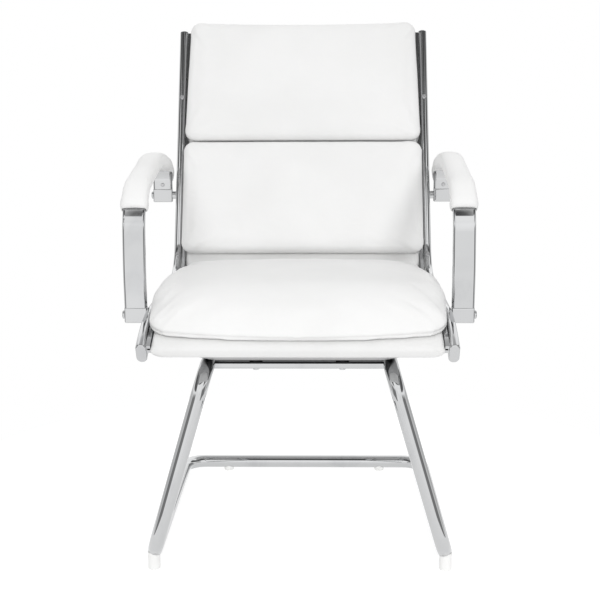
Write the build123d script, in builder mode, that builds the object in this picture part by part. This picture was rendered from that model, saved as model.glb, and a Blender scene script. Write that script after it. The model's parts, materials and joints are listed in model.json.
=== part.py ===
from build123d import *
from math import atan2, cos, hypot, radians, sin, tan
import os

os.makedirs("parts", exist_ok=True)

# Visitor chair: two bent side rails carry a sling with three loose pads, two looped arms
# are bolted to the rails, and a cantilever base of bent tube is bolted under the seat pan.
# Millimetres, +Z up, the sitter faces -Y, the floor is at Z = 0.

# Side line of the rails, measured to the middle of the rail section
SEAT_HEIGHT = 430.0  # level run along the seat
TOP_HEIGHT = 904.0  # upper end of the back
RECLINE = 21.33  # lean of the back from upright, degrees
BACK_CORNER_Y = 143.0  # where the seat line and the back line would cross
FRONT_Y = -334.8  # front end of the rail
NOSE_RADIUS = 284.0  # downward curve at the front
NOSE_ANGLE = 26.5  # how far that curve turns, degrees
BEND_RADIUS = 90.0  # bend from seat to back

# Rail section
RAIL_OUTER_X = 254.0
RAIL_WIDTH = 17.0
RAIL_DEPTH = 36.0
RAIL_ROUND = 8.0
FLANGE_REACH = 6.0  # inner lip that holds the edge of the sling
FLANGE_DEPTH = 14.0
FLANGE_LEVEL = 6.0  # middle of the lip above the middle of the rail
GROOVE_WIDTH = 3.0
GROOVE_DEPTH = 5.0
CAP_THICKNESS = 4.0
CAP_ROUND = 2.5

# Flat spreader bars across the backs of the rails
SPREADER_WIDTH = 40.0
SPREADER_THICKNESS = 8.0
SPREADER_END_SETBACK = 5.0  # from the outer face of the rail
SPREADER_CORNER = 8.0
SEAT_SPREADER_FRONT_Y = -150.0
SEAT_SPREADER_REAR_Y = 45.0
BEND_SPREADER_TURN = 52.0  # place of one bar along the seat to back bend, degrees
BACK_SPREADER_DROP = 131.0  # below the upper end of the back
SCREW_D = 6.0
SCREW_HOLE_CLEARANCE = 0.6
SCREW_HEAD_D = 9.0
SCREW_HEAD_HEIGHT = 2.6
SCREW_DOME = 1.4
SCREW_REACH = 22.0  # thread held in the rail from below the seat

# Sling between the rails
SLING_TOP = 14.0  # sitter's face above the middle of the rail
SLING_THICKNESS = 19.0
SLING_EDGE_ROUND = 5.0
TONGUE_THICKNESS = 2.2
SOFT_GAP = 0.4  # room round every soft piece

# Seat cushion
SEAT_PAD_FRONT_Y = -322.0
SEAT_PAD_REAR_Y = 124.0
SEAT_PAD_INSET = 8.0  # widest line inside the outer face of the rail
SEAT_PAD_CROWN = 62.0  # above the middle of the rail
SEAT_PAD_SIDE_PULL = 13.0  # how far seams draw in from the widest line
SEAT_PAD_SHOULDER = 0.66  # height of the top seam as a share of the crown
# Along the cushion from front to rear: place, width and height as shares of the whole
SEAT_PAD_STATIONS = (
    (0.000, 0.80, 0.10),
    (0.025, 0.90, 0.42),
    (0.080, 0.965, 0.74),
    (0.200, 1.000, 0.95),
    (0.450, 1.000, 1.00),
    (0.700, 0.985, 0.93),
    (0.880, 0.950, 0.76),
    (1.000, 0.905, 0.58),
)

# Back cushions
UPPER_PAD_OVER = 8.0  # above the upper end of the rails
UPPER_PAD_HEIGHT = 228.0
UPPER_PAD_INSET = 20.0  # side inside the outer face of the rail
PAD_SPACE = 6.0  # between the two back cushions
LOWER_PAD_RISE = 42.0  # above the middle of the seat rail
LOWER_PAD_INSET = 11.0
BACK_PAD_THICKNESS = 40.0
BACK_PAD_SIDE_PULL = 8.0
BACK_PAD_SHOULDER = 0.70
# Up a back cushion: place, width and thickness as shares of the whole
BACK_PAD_STATIONS = (
    (0.000, 0.955, 0.34),
    (0.035, 0.985, 0.66),
    (0.130, 1.000, 0.90),
    (0.500, 1.000, 1.00),
    (0.870, 1.000, 0.90),
    (0.965, 0.985, 0.66),
    (1.000, 0.955, 0.34),
)

# Seat pan, a shallow dish under the sling
PAN_DEPTH = 42.0
PAN_HALF_WIDTH = 214.0
PAN_FLOOR_HALF_WIDTH = 159.0
PAN_FRONT_Y = -262.0
PAN_REAR_Y = 96.0
PAN_FLOOR_SETBACK = 21.0  # floor edge behind the front wall and before the rear wall
PAN_BEVEL_HEIGHT = 16.0
PAN_WALL = 4.0
PAN_CORNER = 30.0
PAN_BOLT_X = 180.0
PAN_BOSS_D = 16.0
PAN_BOSS_LENGTH = 30.0
PAN_BOLT_REACH = 18.0  # thread held in the boss
BOLT_HEAD_D = 11.0
BOLT_HEAD_HEIGHT = 4.0

# Cantilever base of bent tube
TUBE_OD = 25.4
TUBE_WALL = 2.0
LEG_TOP_X = 153.5
LEG_TOP_Y = -260.0
FOOT_X = 247.0
FOOT_Y = -263.0
FOOT_TUBE_Z = 27.0
REAR_TUBE_Y = 226.0
REAR_GLIDE_HEIGHT = 6.0  # rear tube above the floor
SEAT_TUBE_END_Y = 85.0
REAR_JOINT_X = 195.0  # weld between side tube and rear cross tube
TOP_BEND = 48.0
FOOT_BEND = 40.0
REAR_BEND = 42.0
PLUG_RIM = 3.0
PLUG_REACH = 14.0
PLUG_ROUND = 1.2

# Cross bars between the seat tubes
BAR_DEPTH = 30.0
BAR_HEIGHT = 12.0
BAR_ROUND = 4.0
BAR_DROP = 15.0  # middle of the bar below the seat pan
FRONT_BAR_Y = -204.0
REAR_BAR_Y = 50.0
BUFFER_D = 22.0
SEAT_BOLT_X = 73.0
SEAT_BOLT_HEAD_D = 13.0
SEAT_BOLT_HEAD_HEIGHT = 4.0
SEAT_BOLT_DOME = 2.2
SEAT_BOLT_REACH = 10.0  # thread held above the pan floor

# Glides
FRONT_GLIDE_Y = -249.0
FRONT_GLIDE_D = 21.0
FRONT_GLIDE_TOP = 31.0
REAR_GLIDE_X = 158.0
REAR_GLIDE_D = 20.0
REAR_GLIDE_TOP = 11.0
GLIDE_EDGE = 1.5
GLIDE_SCREW_D = 4.0
GLIDE_SCREW_HEAD_D = 8.0
GLIDE_SCREW_HEAD_HEIGHT = 2.5
GLIDE_SCREW_RECESS = 1.2  # head above the floor
GLIDE_SCREW_REACH = 5.0  # past the lowest line of the tube

# Arms: the loop is measured upwards and rearwards from its front bolt
ARM_FRONT_Y = -196.0
ARM_FRONT_GAP = 2.0  # spacer at the seat
ARM_REAR_GAP = 8.0  # spacer at the back
ARM_WIDTH = 38.0
ARM_THICKNESS = 12.0
ARM_ROUND = 4.5
ARM_ELBOW_RISE = 202.0  # above the middle of the seat rail
ARM_BOW = 8.0  # front upright bows forward by this much
ARM_BOW_SHARE = 0.37  # height of the bow between the bolt and the elbow
ARM_CREST_RISE = 39.0  # above the elbow
ARM_CREST_SHARE = 0.645  # place of the crest between the two bolts
ARM_HEEL_DROP = 27.0  # below the crest
ARM_HEEL_SETBACK = 5.0
ARM_REAR_DROP = 58.0  # rear bolt below the heel
# How far the bow, elbow, crest and heel bends reach along the shorter run beside them
ARM_BEND_REACHES = (0.34, 0.47, 0.49, 0.50)
ARM_END_DEPTH = 16.0  # flat end of the bar round its bolt, front to rear
ARM_END_LENGTH = 28.0
ARM_END_ROUND = 4.0
ARM_END_EDGE = 2.0
ARM_SPACER_D = 16.0
ARM_BOLT_D = 8.0
ARM_BOLT_CLEARANCE = 0.5
ARM_BOLT_HEAD_D = 13.0
ARM_BOLT_HEAD_HEIGHT = 8.0
ARM_BOLT_HEAD_SINK = 10.0
ARM_BOLT_REACH = 12.0  # thread held in the rail
ARM_CAP_D = 15.0
ARM_CAP_THICKNESS = 4.0
ARM_CAP_ROUND = 2.2

# Padded sleeves on the arms
SLEEVE_WIDTH = 45.0
SLEEVE_OVER = 11.0  # padding on the outside of the loop
SLEEVE_UNDER = 4.0  # padding on the inside of the loop
SLEEVE_ROUND = 9.0
SLEEVE_RISE = 28.0  # open ends of the sleeve above the rear bolt
SLEEVE_SCREW_D = 4.0
SLEEVE_SCREW_HEAD_D = 7.5
SLEEVE_SCREW_HEAD_HEIGHT = 2.0
SLEEVE_SCREW_DOME = 1.2
SLEEVE_SCREW_REACH = 8.0
SLEEVE_SCREW_DROP = 2.5  # screw head edge below the end of the sleeve

# Places that follow from the sizes above
RAIL_X = RAIL_OUTER_X - RAIL_WIDTH / 2
RAIL_INNER_X = RAIL_OUTER_X - RAIL_WIDTH
LIP_X = RAIL_INNER_X - FLANGE_REACH
SEAT_PAD_HALF_WIDTH = RAIL_OUTER_X - SEAT_PAD_INSET
UPPER_PAD_HALF_WIDTH = RAIL_OUTER_X - UPPER_PAD_INSET
LOWER_PAD_HALF_WIDTH = RAIL_OUTER_X - LOWER_PAD_INSET
BEND_TURN = 90.0 - RECLINE
LEAN = radians(RECLINE)
NOSE_START_Y = FRONT_Y + NOSE_RADIUS * sin(radians(NOSE_ANGLE))
BEND_START_Y = BACK_CORNER_Y - BEND_RADIUS * tan(radians(BEND_TURN / 2))
BEND_CENTER_Z = SEAT_HEIGHT + BEND_RADIUS
SPREADER_HALF = RAIL_OUTER_X - SPREADER_END_SETBACK
SPREADER_FACE = -RAIL_DEPTH / 2
PAN_RIM_Z = SEAT_HEIGHT - RAIL_DEPTH / 2 - SPREADER_THICKNESS
PAN_BOTTOM_Z = PAN_RIM_Z - PAN_DEPTH
UPPER_PAD_HIGH = TOP_HEIGHT + UPPER_PAD_OVER
UPPER_PAD_LOW = UPPER_PAD_HIGH - UPPER_PAD_HEIGHT
LOWER_PAD_HIGH = UPPER_PAD_LOW - PAD_SPACE
LOWER_PAD_LOW = SEAT_HEIGHT + LOWER_PAD_RISE
TUBE_R = TUBE_OD / 2
SEAT_TUBE_Z = PAN_BOTTOM_Z - TUBE_R
REAR_TUBE_Z = REAR_GLIDE_HEIGHT + TUBE_R
BAR_Z = PAN_BOTTOM_Z - BAR_DROP
SCREW_HOLE_D = SCREW_D + SCREW_HOLE_CLEARANCE


def back_y(height):
    """Y of the straight back line at a height."""
    return BACK_CORNER_Y + (height - SEAT_HEIGHT) * tan(LEAN)


def seat_plane(y):
    """Plane on the middle of the rail at the seat, facing up."""
    return Plane(origin=(0, y, SEAT_HEIGHT), x_dir=(1, 0, 0), z_dir=(0, 0, 1))


def bend_plane(turn):
    """Plane on the middle of the rail inside the bend, facing the sitter."""
    angle = radians(turn)
    y = BEND_START_Y + BEND_RADIUS * sin(angle)
    z = BEND_CENTER_Z - BEND_RADIUS * cos(angle)
    return Plane(origin=(0, y, z), x_dir=(1, 0, 0), z_dir=(0, -sin(angle), cos(angle)))


def back_plane(height):
    """Plane on the middle of the rail at the back, facing the sitter."""
    return Plane(origin=(0, back_y(height), height), x_dir=(1, 0, 0), z_dir=(0, -cos(LEAN), sin(LEAN)))


SEAT_SPREADER_PLANES = (seat_plane(SEAT_SPREADER_FRONT_Y), seat_plane(SEAT_SPREADER_REAR_Y))
BEND_SPREADER_PLANE = bend_plane(BEND_SPREADER_TURN)
BACK_SPREADER_PLANE = back_plane(TOP_HEIGHT - BACK_SPREADER_DROP)


def draw_nose():
    """Downward curve at the front of the side line."""
    center = (NOSE_START_Y, SEAT_HEIGHT - NOSE_RADIUS)
    CenterArc(center, NOSE_RADIUS, 90 + NOSE_ANGLE, -NOSE_ANGLE)


def draw_seat_run():
    """Level run of the side line."""
    Line((NOSE_START_Y, SEAT_HEIGHT), (BEND_START_Y, SEAT_HEIGHT))


def draw_bend(first, last):
    """Stretch of the bend between two shares of its turn."""
    center = (BEND_START_Y, BEND_CENTER_Z)
    CenterArc(center, BEND_RADIUS, first * BEND_TURN - 90, (last - first) * BEND_TURN)


def draw_back_run():
    """Straight back of the side line."""
    low = bend_plane(BEND_TURN).origin
    Line((low.Y, low.Z), (back_y(TOP_HEIGHT), TOP_HEIGHT))


def across(wire):
    """Plane across the start of a side line: X runs inwards, Y towards the sitter."""
    return Plane(origin=wire @ 0, x_dir=(-1, 0, 0), z_dir=wire % 0)


def draw_rail_section(grow):
    """Rounded rail with its inner lip, grown all round."""
    RectangleRounded(RAIL_WIDTH + 2 * grow, RAIL_DEPTH + 2 * grow, RAIL_ROUND + grow)
    lip_root = RAIL_WIDTH / 4
    lip_end = RAIL_WIDTH / 2 + FLANGE_REACH + grow
    with Locations(((lip_root + lip_end) / 2, FLANGE_LEVEL)):
        Rectangle(lip_end - lip_root, FLANGE_DEPTH + 2 * grow)


# Places of the arm's bends and bolts
ARM_ELBOW_HEIGHT = SEAT_HEIGHT + ARM_ELBOW_RISE
ARM_CREST_HEIGHT = ARM_ELBOW_HEIGHT + ARM_CREST_RISE
ARM_HEEL_HEIGHT = ARM_CREST_HEIGHT - ARM_HEEL_DROP
ARM_REAR_HEIGHT = ARM_HEEL_HEIGHT - ARM_REAR_DROP
ARM_REAR_Y = back_y(ARM_REAR_HEIGHT)
SLEEVE_LOW = ARM_REAR_HEIGHT + SLEEVE_RISE
ARM_SPLAY = atan2(ARM_REAR_GAP - ARM_FRONT_GAP, ARM_REAR_Y - ARM_FRONT_Y)
ARM_SPAN = hypot(ARM_REAR_GAP - ARM_FRONT_GAP, ARM_REAR_Y - ARM_FRONT_Y)
ARM_ALONG = (sin(ARM_SPLAY), cos(ARM_SPLAY), 0)
ARM_OUTWARD = (cos(ARM_SPLAY), -sin(ARM_SPLAY), 0)


def arm_plane(offset):
    """Upright plane of the right arm: X runs rearwards, Y up, offset from its inner face."""
    foot = Vector(RAIL_OUTER_X + ARM_FRONT_GAP, ARM_FRONT_Y, 0)
    return Plane(origin=foot + Vector(ARM_OUTWARD) * offset, x_dir=ARM_ALONG, z_dir=ARM_OUTWARD)


ARM_BOLT_PLACES = ((0, SEAT_HEIGHT), (ARM_SPAN, ARM_REAR_HEIGHT))


# Side rails
def build_rail():
    """Right-hand side rail with its groove and screw holes."""
    with BuildPart() as rail:
        with BuildLine(Plane.YZ.offset(RAIL_X)) as line:
            draw_nose()
            draw_seat_run()
            draw_bend(0, 1)
            draw_back_run()
        with BuildSketch(across(line.wire())):
            draw_rail_section(0)
            groove_x = RAIL_WIDTH / 2 + FLANGE_REACH - GROOVE_DEPTH / 2
            with Locations((groove_x, FLANGE_LEVEL)):
                Rectangle(GROOVE_DEPTH, GROOVE_WIDTH, mode=Mode.SUBTRACT)
        sweep(path=line.wire())
        for plane in (BEND_SPREADER_PLANE, BACK_SPREADER_PLANE):
            with BuildSketch(plane):
                with Locations((RAIL_X, 0)):
                    Circle(SCREW_HOLE_D / 2)
            extrude(amount=RAIL_DEPTH, both=True, mode=Mode.SUBTRACT)
        for plane in SEAT_SPREADER_PLANES:
            with BuildSketch(plane.offset(SPREADER_FACE)):
                with Locations((RAIL_X, 0)):
                    Circle(SCREW_D / 2)
            extrude(amount=SCREW_REACH, mode=Mode.SUBTRACT)
        with BuildSketch(arm_plane(0)):
            with Locations(*ARM_BOLT_PLACES):
                Circle(ARM_BOLT_D / 2)
        extrude(amount=-(ARM_REAR_GAP + ARM_BOLT_REACH), mode=Mode.SUBTRACT)
    return rail.part


def build_rail_cutter():
    """Both rails grown by the soft gap, to trim the cushions."""
    with BuildPart(mode=Mode.PRIVATE) as cutter:
        with BuildLine(Plane.YZ.offset(RAIL_X)) as line:
            draw_nose()
            draw_seat_run()
            draw_bend(0, 1)
            draw_back_run()
        with BuildSketch(across(line.wire())):
            draw_rail_section(SOFT_GAP)
        sweep(path=line.wire())
        mirror(about=Plane.YZ)
    return cutter.part


def build_rail_cap(plane):
    """Rounded end plate on a rail end."""
    with BuildPart() as cap:
        with BuildSketch(plane):
            RectangleRounded(RAIL_WIDTH, RAIL_DEPTH, RAIL_ROUND)
        extrude(amount=CAP_THICKNESS)
        fillet(cap.faces().sort_by(Axis(plane.origin, plane.z_dir))[-1].edges(), CAP_ROUND)
    return cap.part


with BuildPart() as side_rail_right:
    add(build_rail())
with BuildPart() as side_rail_left:
    mirror(side_rail_right.part, about=Plane.YZ)

nose_turn = radians(NOSE_ANGLE)
front_end = (RAIL_X, FRONT_Y, SEAT_HEIGHT - NOSE_RADIUS * (1 - cos(nose_turn)))
front_out = (0, -cos(nose_turn), -sin(nose_turn))
with BuildPart() as rail_front_cap_right:
    add(build_rail_cap(Plane(origin=front_end, x_dir=(1, 0, 0), z_dir=front_out)))
with BuildPart() as rail_front_cap_left:
    mirror(rail_front_cap_right.part, about=Plane.YZ)

top_end = (RAIL_X, back_y(TOP_HEIGHT), TOP_HEIGHT)
with BuildPart() as rail_top_cap_right:
    add(build_rail_cap(Plane(origin=top_end, x_dir=(1, 0, 0), z_dir=(0, sin(LEAN), cos(LEAN)))))
with BuildPart() as rail_top_cap_left:
    mirror(rail_top_cap_right.part, about=Plane.YZ)


# Spreader bars across the rails
def build_spreader(plane, rail_hole_d, pan_hole_d):
    """Flat bar across the backs of both rails; a pan hole of zero leaves those out."""
    with BuildPart() as bar:
        with BuildSketch(plane.offset(SPREADER_FACE)):
            RectangleRounded(2 * SPREADER_HALF, SPREADER_WIDTH, SPREADER_CORNER)
            with Locations((RAIL_X, 0), (-RAIL_X, 0)):
                Circle(rail_hole_d / 2, mode=Mode.SUBTRACT)
            if pan_hole_d > 0:
                with Locations((PAN_BOLT_X, 0), (-PAN_BOLT_X, 0)):
                    Circle(pan_hole_d / 2, mode=Mode.SUBTRACT)
        extrude(amount=-SPREADER_THICKNESS)
    return bar.part


with BuildPart() as seat_front_spreader:
    add(build_spreader(SEAT_SPREADER_PLANES[0], SCREW_HOLE_D, SCREW_HOLE_D))
with BuildPart() as seat_rear_spreader:
    add(build_spreader(SEAT_SPREADER_PLANES[1], SCREW_HOLE_D, SCREW_HOLE_D))
with BuildPart() as back_lower_spreader:
    add(build_spreader(BEND_SPREADER_PLANE, SCREW_D, 0))
with BuildPart() as back_upper_spreader:
    add(build_spreader(BACK_SPREADER_PLANE, SCREW_D, 0))


# Screws that hold the rails to the spreader bars
def build_domed_screw(plane, length):
    """Domed screw on the right rail: the head stands on the plane, the shank goes down."""
    with BuildPart() as screw:
        with BuildSketch(plane):
            with Locations((RAIL_X, 0)):
                Circle(SCREW_HEAD_D / 2)
        extrude(amount=SCREW_HEAD_HEIGHT)
        fillet(screw.faces().sort_by(Axis(plane.origin, plane.z_dir))[-1].edges(), SCREW_DOME)
        with BuildSketch(plane):
            with Locations((RAIL_X, 0)):
                Circle(SCREW_D / 2)
        extrude(amount=-length)
    return screw.part


# In the bend the front face of the rail is hollow, so that screw head stands on its rim
HOLLOW_RADIUS = BEND_RADIUS - RAIL_DEPTH / 2
BEND_SCREW_LIFT = HOLLOW_RADIUS - (HOLLOW_RADIUS**2 - (SCREW_HEAD_D / 2) ** 2) ** 0.5
SCREW_LENGTH = RAIL_DEPTH + SPREADER_THICKNESS

with BuildPart() as back_rail_screws:
    add(build_domed_screw(BACK_SPREADER_PLANE.offset(RAIL_DEPTH / 2), SCREW_LENGTH))
    bend_level = RAIL_DEPTH / 2 + BEND_SCREW_LIFT
    add(build_domed_screw(BEND_SPREADER_PLANE.offset(bend_level), SCREW_LENGTH + BEND_SCREW_LIFT))
    mirror(about=Plane.YZ)

with BuildPart() as seat_rail_screws:
    for plane in SEAT_SPREADER_PLANES:
        below = Plane(origin=(0, plane.origin.Y, PAN_RIM_Z), x_dir=(1, 0, 0), z_dir=(0, 0, -1))
        add(build_domed_screw(below, SPREADER_THICKNESS + SCREW_REACH))
    mirror(about=Plane.YZ)


# Sling: a seat panel and a back panel that meet in the bend
def draw_sling_section():
    """Padded panel with a thin tongue on each edge for the rail grooves."""
    half = LIP_X - SOFT_GAP
    level = SLING_TOP - SLING_THICKNESS / 2
    with Locations((0, level)):
        RectangleRounded(2 * half, SLING_THICKNESS, SLING_EDGE_ROUND)
    tongue_half = LIP_X + GROOVE_DEPTH - SOFT_GAP
    with Locations((0, FLANGE_LEVEL)):
        Rectangle(2 * tongue_half, TONGUE_THICKNESS)


SLING_SEAM = 0.5  # share of the bend that belongs to the seat panel

with BuildPart() as seat_sling:
    with BuildLine(Plane.YZ) as seat_line:
        draw_nose()
        draw_seat_run()
        draw_bend(0, SLING_SEAM)
    with BuildSketch(across(seat_line.wire())):
        draw_sling_section()
    sweep(path=seat_line.wire())

with BuildPart() as back_sling:
    with BuildLine(Plane.YZ) as back_line:
        draw_bend(SLING_SEAM, 1)
        draw_back_run()
    with BuildSketch(across(back_line.wire())):
        draw_sling_section()
    sweep(path=back_line.wire())


# Cushions
def build_sling_cutter():
    """Everything below the sitter's face of the sling, plus the soft gap."""
    depth = SEAT_PAD_CROWN + RAIL_DEPTH
    with BuildPart(mode=Mode.PRIVATE) as cutter:
        with BuildLine(Plane.YZ) as line:
            draw_nose()
            draw_seat_run()
            draw_bend(0, 1)
            draw_back_run()
        with BuildSketch(across(line.wire())):
            with Locations((0, SLING_TOP + SOFT_GAP - depth / 2)):
                Rectangle(2 * RAIL_INNER_X, depth)
        sweep(path=line.wire())
    return cutter.part


SLING_CUTTER = build_sling_cutter()
RAIL_CUTTER = build_rail_cutter()


def pad_corners(half, pull, low, high):
    """Right-hand corner points of a cushion outline and its widest point."""
    return (half - pull, low), (half, (low + high) / 2), (half - pull, high)


with BuildPart() as seat_cushion:
    for place, width, height in SEAT_PAD_STATIONS:
        y = SEAT_PAD_FRONT_Y + place * (SEAT_PAD_REAR_Y - SEAT_PAD_FRONT_Y)
        drop = max(0.0, NOSE_START_Y - y)
        level = SEAT_HEIGHT - (NOSE_RADIUS - (NOSE_RADIUS**2 - drop**2) ** 0.5)
        low = level
        crown = level + SLING_TOP + height * (SEAT_PAD_CROWN - SLING_TOP)
        high = level + SLING_TOP + height * SEAT_PAD_SHOULDER * (SEAT_PAD_CROWN - SLING_TOP)
        half = width * SEAT_PAD_HALF_WIDTH
        foot, side, seam = pad_corners(half, SEAT_PAD_SIDE_PULL, low, high)
        with BuildSketch(Plane(origin=(0, y, 0), x_dir=(1, 0, 0), z_dir=(0, -1, 0))):
            with BuildLine():
                Line((-foot[0], foot[1]), foot)
                ThreePointArc(foot, side, seam)
                ThreePointArc(seam, (0, crown), (-seam[0], seam[1]))
                ThreePointArc((-seam[0], seam[1]), (-side[0], side[1]), (-foot[0], foot[1]))
            make_face()
    loft()
    add(SLING_CUTTER, mode=Mode.SUBTRACT)
    add(RAIL_CUTTER, mode=Mode.SUBTRACT)


def build_back_pad(low_height, high_height, half_width):
    """Crowned cushion on the sitter's face of the back sling."""
    with BuildPart() as pad:
        for place, width, thickness in BACK_PAD_STATIONS:
            plane = back_plane(low_height + place * (high_height - low_height))
            base = SLING_TOP - SOFT_GAP
            crown = SLING_TOP + thickness * BACK_PAD_THICKNESS
            seam_level = SLING_TOP + thickness * BACK_PAD_SHOULDER * BACK_PAD_THICKNESS
            foot, side, seam = pad_corners(width * half_width, BACK_PAD_SIDE_PULL, base, seam_level)
            with BuildSketch(Plane(origin=plane.origin, x_dir=(1, 0, 0), z_dir=plane.y_dir * -1)):
                with BuildLine():
                    Line((-foot[0], foot[1]), foot)
                    ThreePointArc(foot, side, seam)
                    ThreePointArc(seam, (0, crown), (-seam[0], seam[1]))
                    ThreePointArc((-seam[0], seam[1]), (-side[0], side[1]), (-foot[0], foot[1]))
                make_face()
        loft()
        add(SLING_CUTTER, mode=Mode.SUBTRACT)
        add(RAIL_CUTTER, mode=Mode.SUBTRACT)
    return pad.part


with BuildPart() as upper_back_cushion:
    add(build_back_pad(UPPER_PAD_LOW, UPPER_PAD_HIGH, UPPER_PAD_HALF_WIDTH))
with BuildPart() as lower_back_cushion:
    add(build_back_pad(LOWER_PAD_LOW, LOWER_PAD_HIGH, LOWER_PAD_HALF_WIDTH))

# Seat pan with bosses for the spreader bolts and for the base bolts
PAN_MID_Y = (PAN_FRONT_Y + PAN_REAR_Y) / 2
PAN_LENGTH = PAN_REAR_Y - PAN_FRONT_Y
SEAT_BOLT_PLACES = [(side * SEAT_BOLT_X, y) for y in (FRONT_BAR_Y, REAR_BAR_Y) for side in (-1, 1)]
PAN_BOLT_PLACES = [
    (side * PAN_BOLT_X, y) for y in (SEAT_SPREADER_FRONT_Y, SEAT_SPREADER_REAR_Y) for side in (-1, 1)
]


def floor_sketch_plane(height):
    """Level plane whose origin is over the middle of the pan."""
    return Plane(origin=(0, PAN_MID_Y, height))


with BuildPart() as seat_pan:
    bevel_z = PAN_BOTTOM_Z + PAN_BEVEL_HEIGHT
    with BuildSketch(floor_sketch_plane(PAN_BOTTOM_Z)):
        floor_size = (2 * PAN_FLOOR_HALF_WIDTH, PAN_LENGTH - 2 * PAN_FLOOR_SETBACK)
        RectangleRounded(floor_size[0], floor_size[1], PAN_CORNER)
    with BuildSketch(floor_sketch_plane(bevel_z)):
        RectangleRounded(2 * PAN_HALF_WIDTH, PAN_LENGTH, PAN_CORNER)
    loft()
    with BuildSketch(floor_sketch_plane(bevel_z)):
        RectangleRounded(2 * PAN_HALF_WIDTH, PAN_LENGTH, PAN_CORNER)
    extrude(amount=PAN_RIM_Z - bevel_z)
    inside = 2 * PAN_WALL
    with BuildSketch(floor_sketch_plane(PAN_BOTTOM_Z + PAN_WALL)):
        RectangleRounded(floor_size[0] - inside, floor_size[1] - inside, PAN_CORNER - PAN_WALL)
    with BuildSketch(floor_sketch_plane(bevel_z + PAN_WALL)):
        RectangleRounded(2 * PAN_HALF_WIDTH - inside, PAN_LENGTH - inside, PAN_CORNER - PAN_WALL)
    loft(mode=Mode.SUBTRACT)
    with BuildSketch(floor_sketch_plane(bevel_z + PAN_WALL)):
        RectangleRounded(2 * PAN_HALF_WIDTH - inside, PAN_LENGTH - inside, PAN_CORNER - PAN_WALL)
    extrude(amount=PAN_RIM_Z - bevel_z, mode=Mode.SUBTRACT)
    with BuildSketch(Plane.XY.offset(PAN_RIM_Z)):
        with Locations(*PAN_BOLT_PLACES):
            Circle(PAN_BOSS_D / 2)
    extrude(amount=-PAN_BOSS_LENGTH)
    with BuildSketch(Plane.XY.offset(PAN_BOTTOM_Z)):
        with Locations(*SEAT_BOLT_PLACES):
            Circle(PAN_BOSS_D / 2)
    extrude(amount=PAN_WALL + SEAT_BOLT_REACH)
    with BuildSketch(Plane.XY.offset(PAN_RIM_Z)):
        with Locations(*PAN_BOLT_PLACES):
            Circle(SCREW_D / 2)
    extrude(amount=-PAN_BOLT_REACH, mode=Mode.SUBTRACT)
    with BuildSketch(Plane.XY.offset(PAN_BOTTOM_Z)):
        with Locations(*SEAT_BOLT_PLACES):
            Circle(SCREW_D / 2)
    extrude(amount=PAN_WALL + SEAT_BOLT_REACH, mode=Mode.SUBTRACT)

with BuildPart() as pan_bolts:
    spreader_top = PAN_RIM_Z + SPREADER_THICKNESS
    with BuildSketch(Plane.XY.offset(spreader_top)):
        with Locations(*PAN_BOLT_PLACES):
            Circle(BOLT_HEAD_D / 2)
    extrude(amount=BOLT_HEAD_HEIGHT)
    with BuildSketch(Plane.XY.offset(spreader_top)):
        with Locations(*PAN_BOLT_PLACES):
            Circle(SCREW_D / 2)
    extrude(amount=-(SPREADER_THICKNESS + PAN_BOLT_REACH))

# Cantilever base: two bent side tubes and a rear cross tube
SIDE_TUBE_POINTS = (
    (LEG_TOP_X, SEAT_TUBE_END_Y, SEAT_TUBE_Z),
    (LEG_TOP_X, LEG_TOP_Y, SEAT_TUBE_Z),
    (FOOT_X, FOOT_Y, FOOT_TUBE_Z),
    (FOOT_X, REAR_TUBE_Y, REAR_TUBE_Z),
    (REAR_JOINT_X, REAR_TUBE_Y, REAR_TUBE_Z),
)
SIDE_TUBE_BENDS = (TOP_BEND, FOOT_BEND, REAR_BEND)


def build_side_tube(bore):
    """Right-hand bent tube; a bore of zero gives the solid outline."""
    with BuildPart() as tube:
        with BuildLine() as line:
            FilletPolyline(*SIDE_TUBE_POINTS, radius=SIDE_TUBE_BENDS)
        with BuildSketch(Plane(origin=line.wire() @ 0, z_dir=line.wire() % 0)):
            Circle(TUBE_R)
            if bore > 0:
                Circle(bore / 2, mode=Mode.SUBTRACT)
        sweep(path=line.wire())
    return tube.part


def build_tube_cutter():
    """Solid outlines of both side tubes, to cope what meets them."""
    with BuildPart(mode=Mode.PRIVATE) as cutter:
        add(build_side_tube(0))
        mirror(about=Plane.YZ)
    return cutter.part


TUBE_BORE = TUBE_OD - 2 * TUBE_WALL
TUBE_CUTTER = build_tube_cutter()
GLIDE_SCREW_PLACES = {
    "front": [(side * FOOT_X, FRONT_GLIDE_Y) for side in (-1, 1)],
    "rear": [(side * REAR_GLIDE_X, REAR_TUBE_Y) for side in (-1, 1)],
}

with BuildPart() as base_tube_right:
    add(build_side_tube(TUBE_BORE))
    with BuildSketch(Plane.XY):
        with Locations(GLIDE_SCREW_PLACES["front"][1]):
            Circle(GLIDE_SCREW_D / 2)
    extrude(amount=FOOT_TUBE_Z, mode=Mode.SUBTRACT)
with BuildPart() as base_tube_left:
    mirror(base_tube_right.part, about=Plane.YZ)

with BuildPart() as rear_cross_tube:
    with BuildSketch(Plane.YZ.offset(-REAR_JOINT_X)):
        with Locations((REAR_TUBE_Y, REAR_TUBE_Z)):
            Circle(TUBE_R)
            Circle(TUBE_BORE / 2, mode=Mode.SUBTRACT)
    extrude(amount=2 * REAR_JOINT_X)
    with BuildSketch(Plane.XY):
        with Locations(*GLIDE_SCREW_PLACES["rear"]):
            Circle(GLIDE_SCREW_D / 2)
    extrude(amount=REAR_TUBE_Z, mode=Mode.SUBTRACT)

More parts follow.
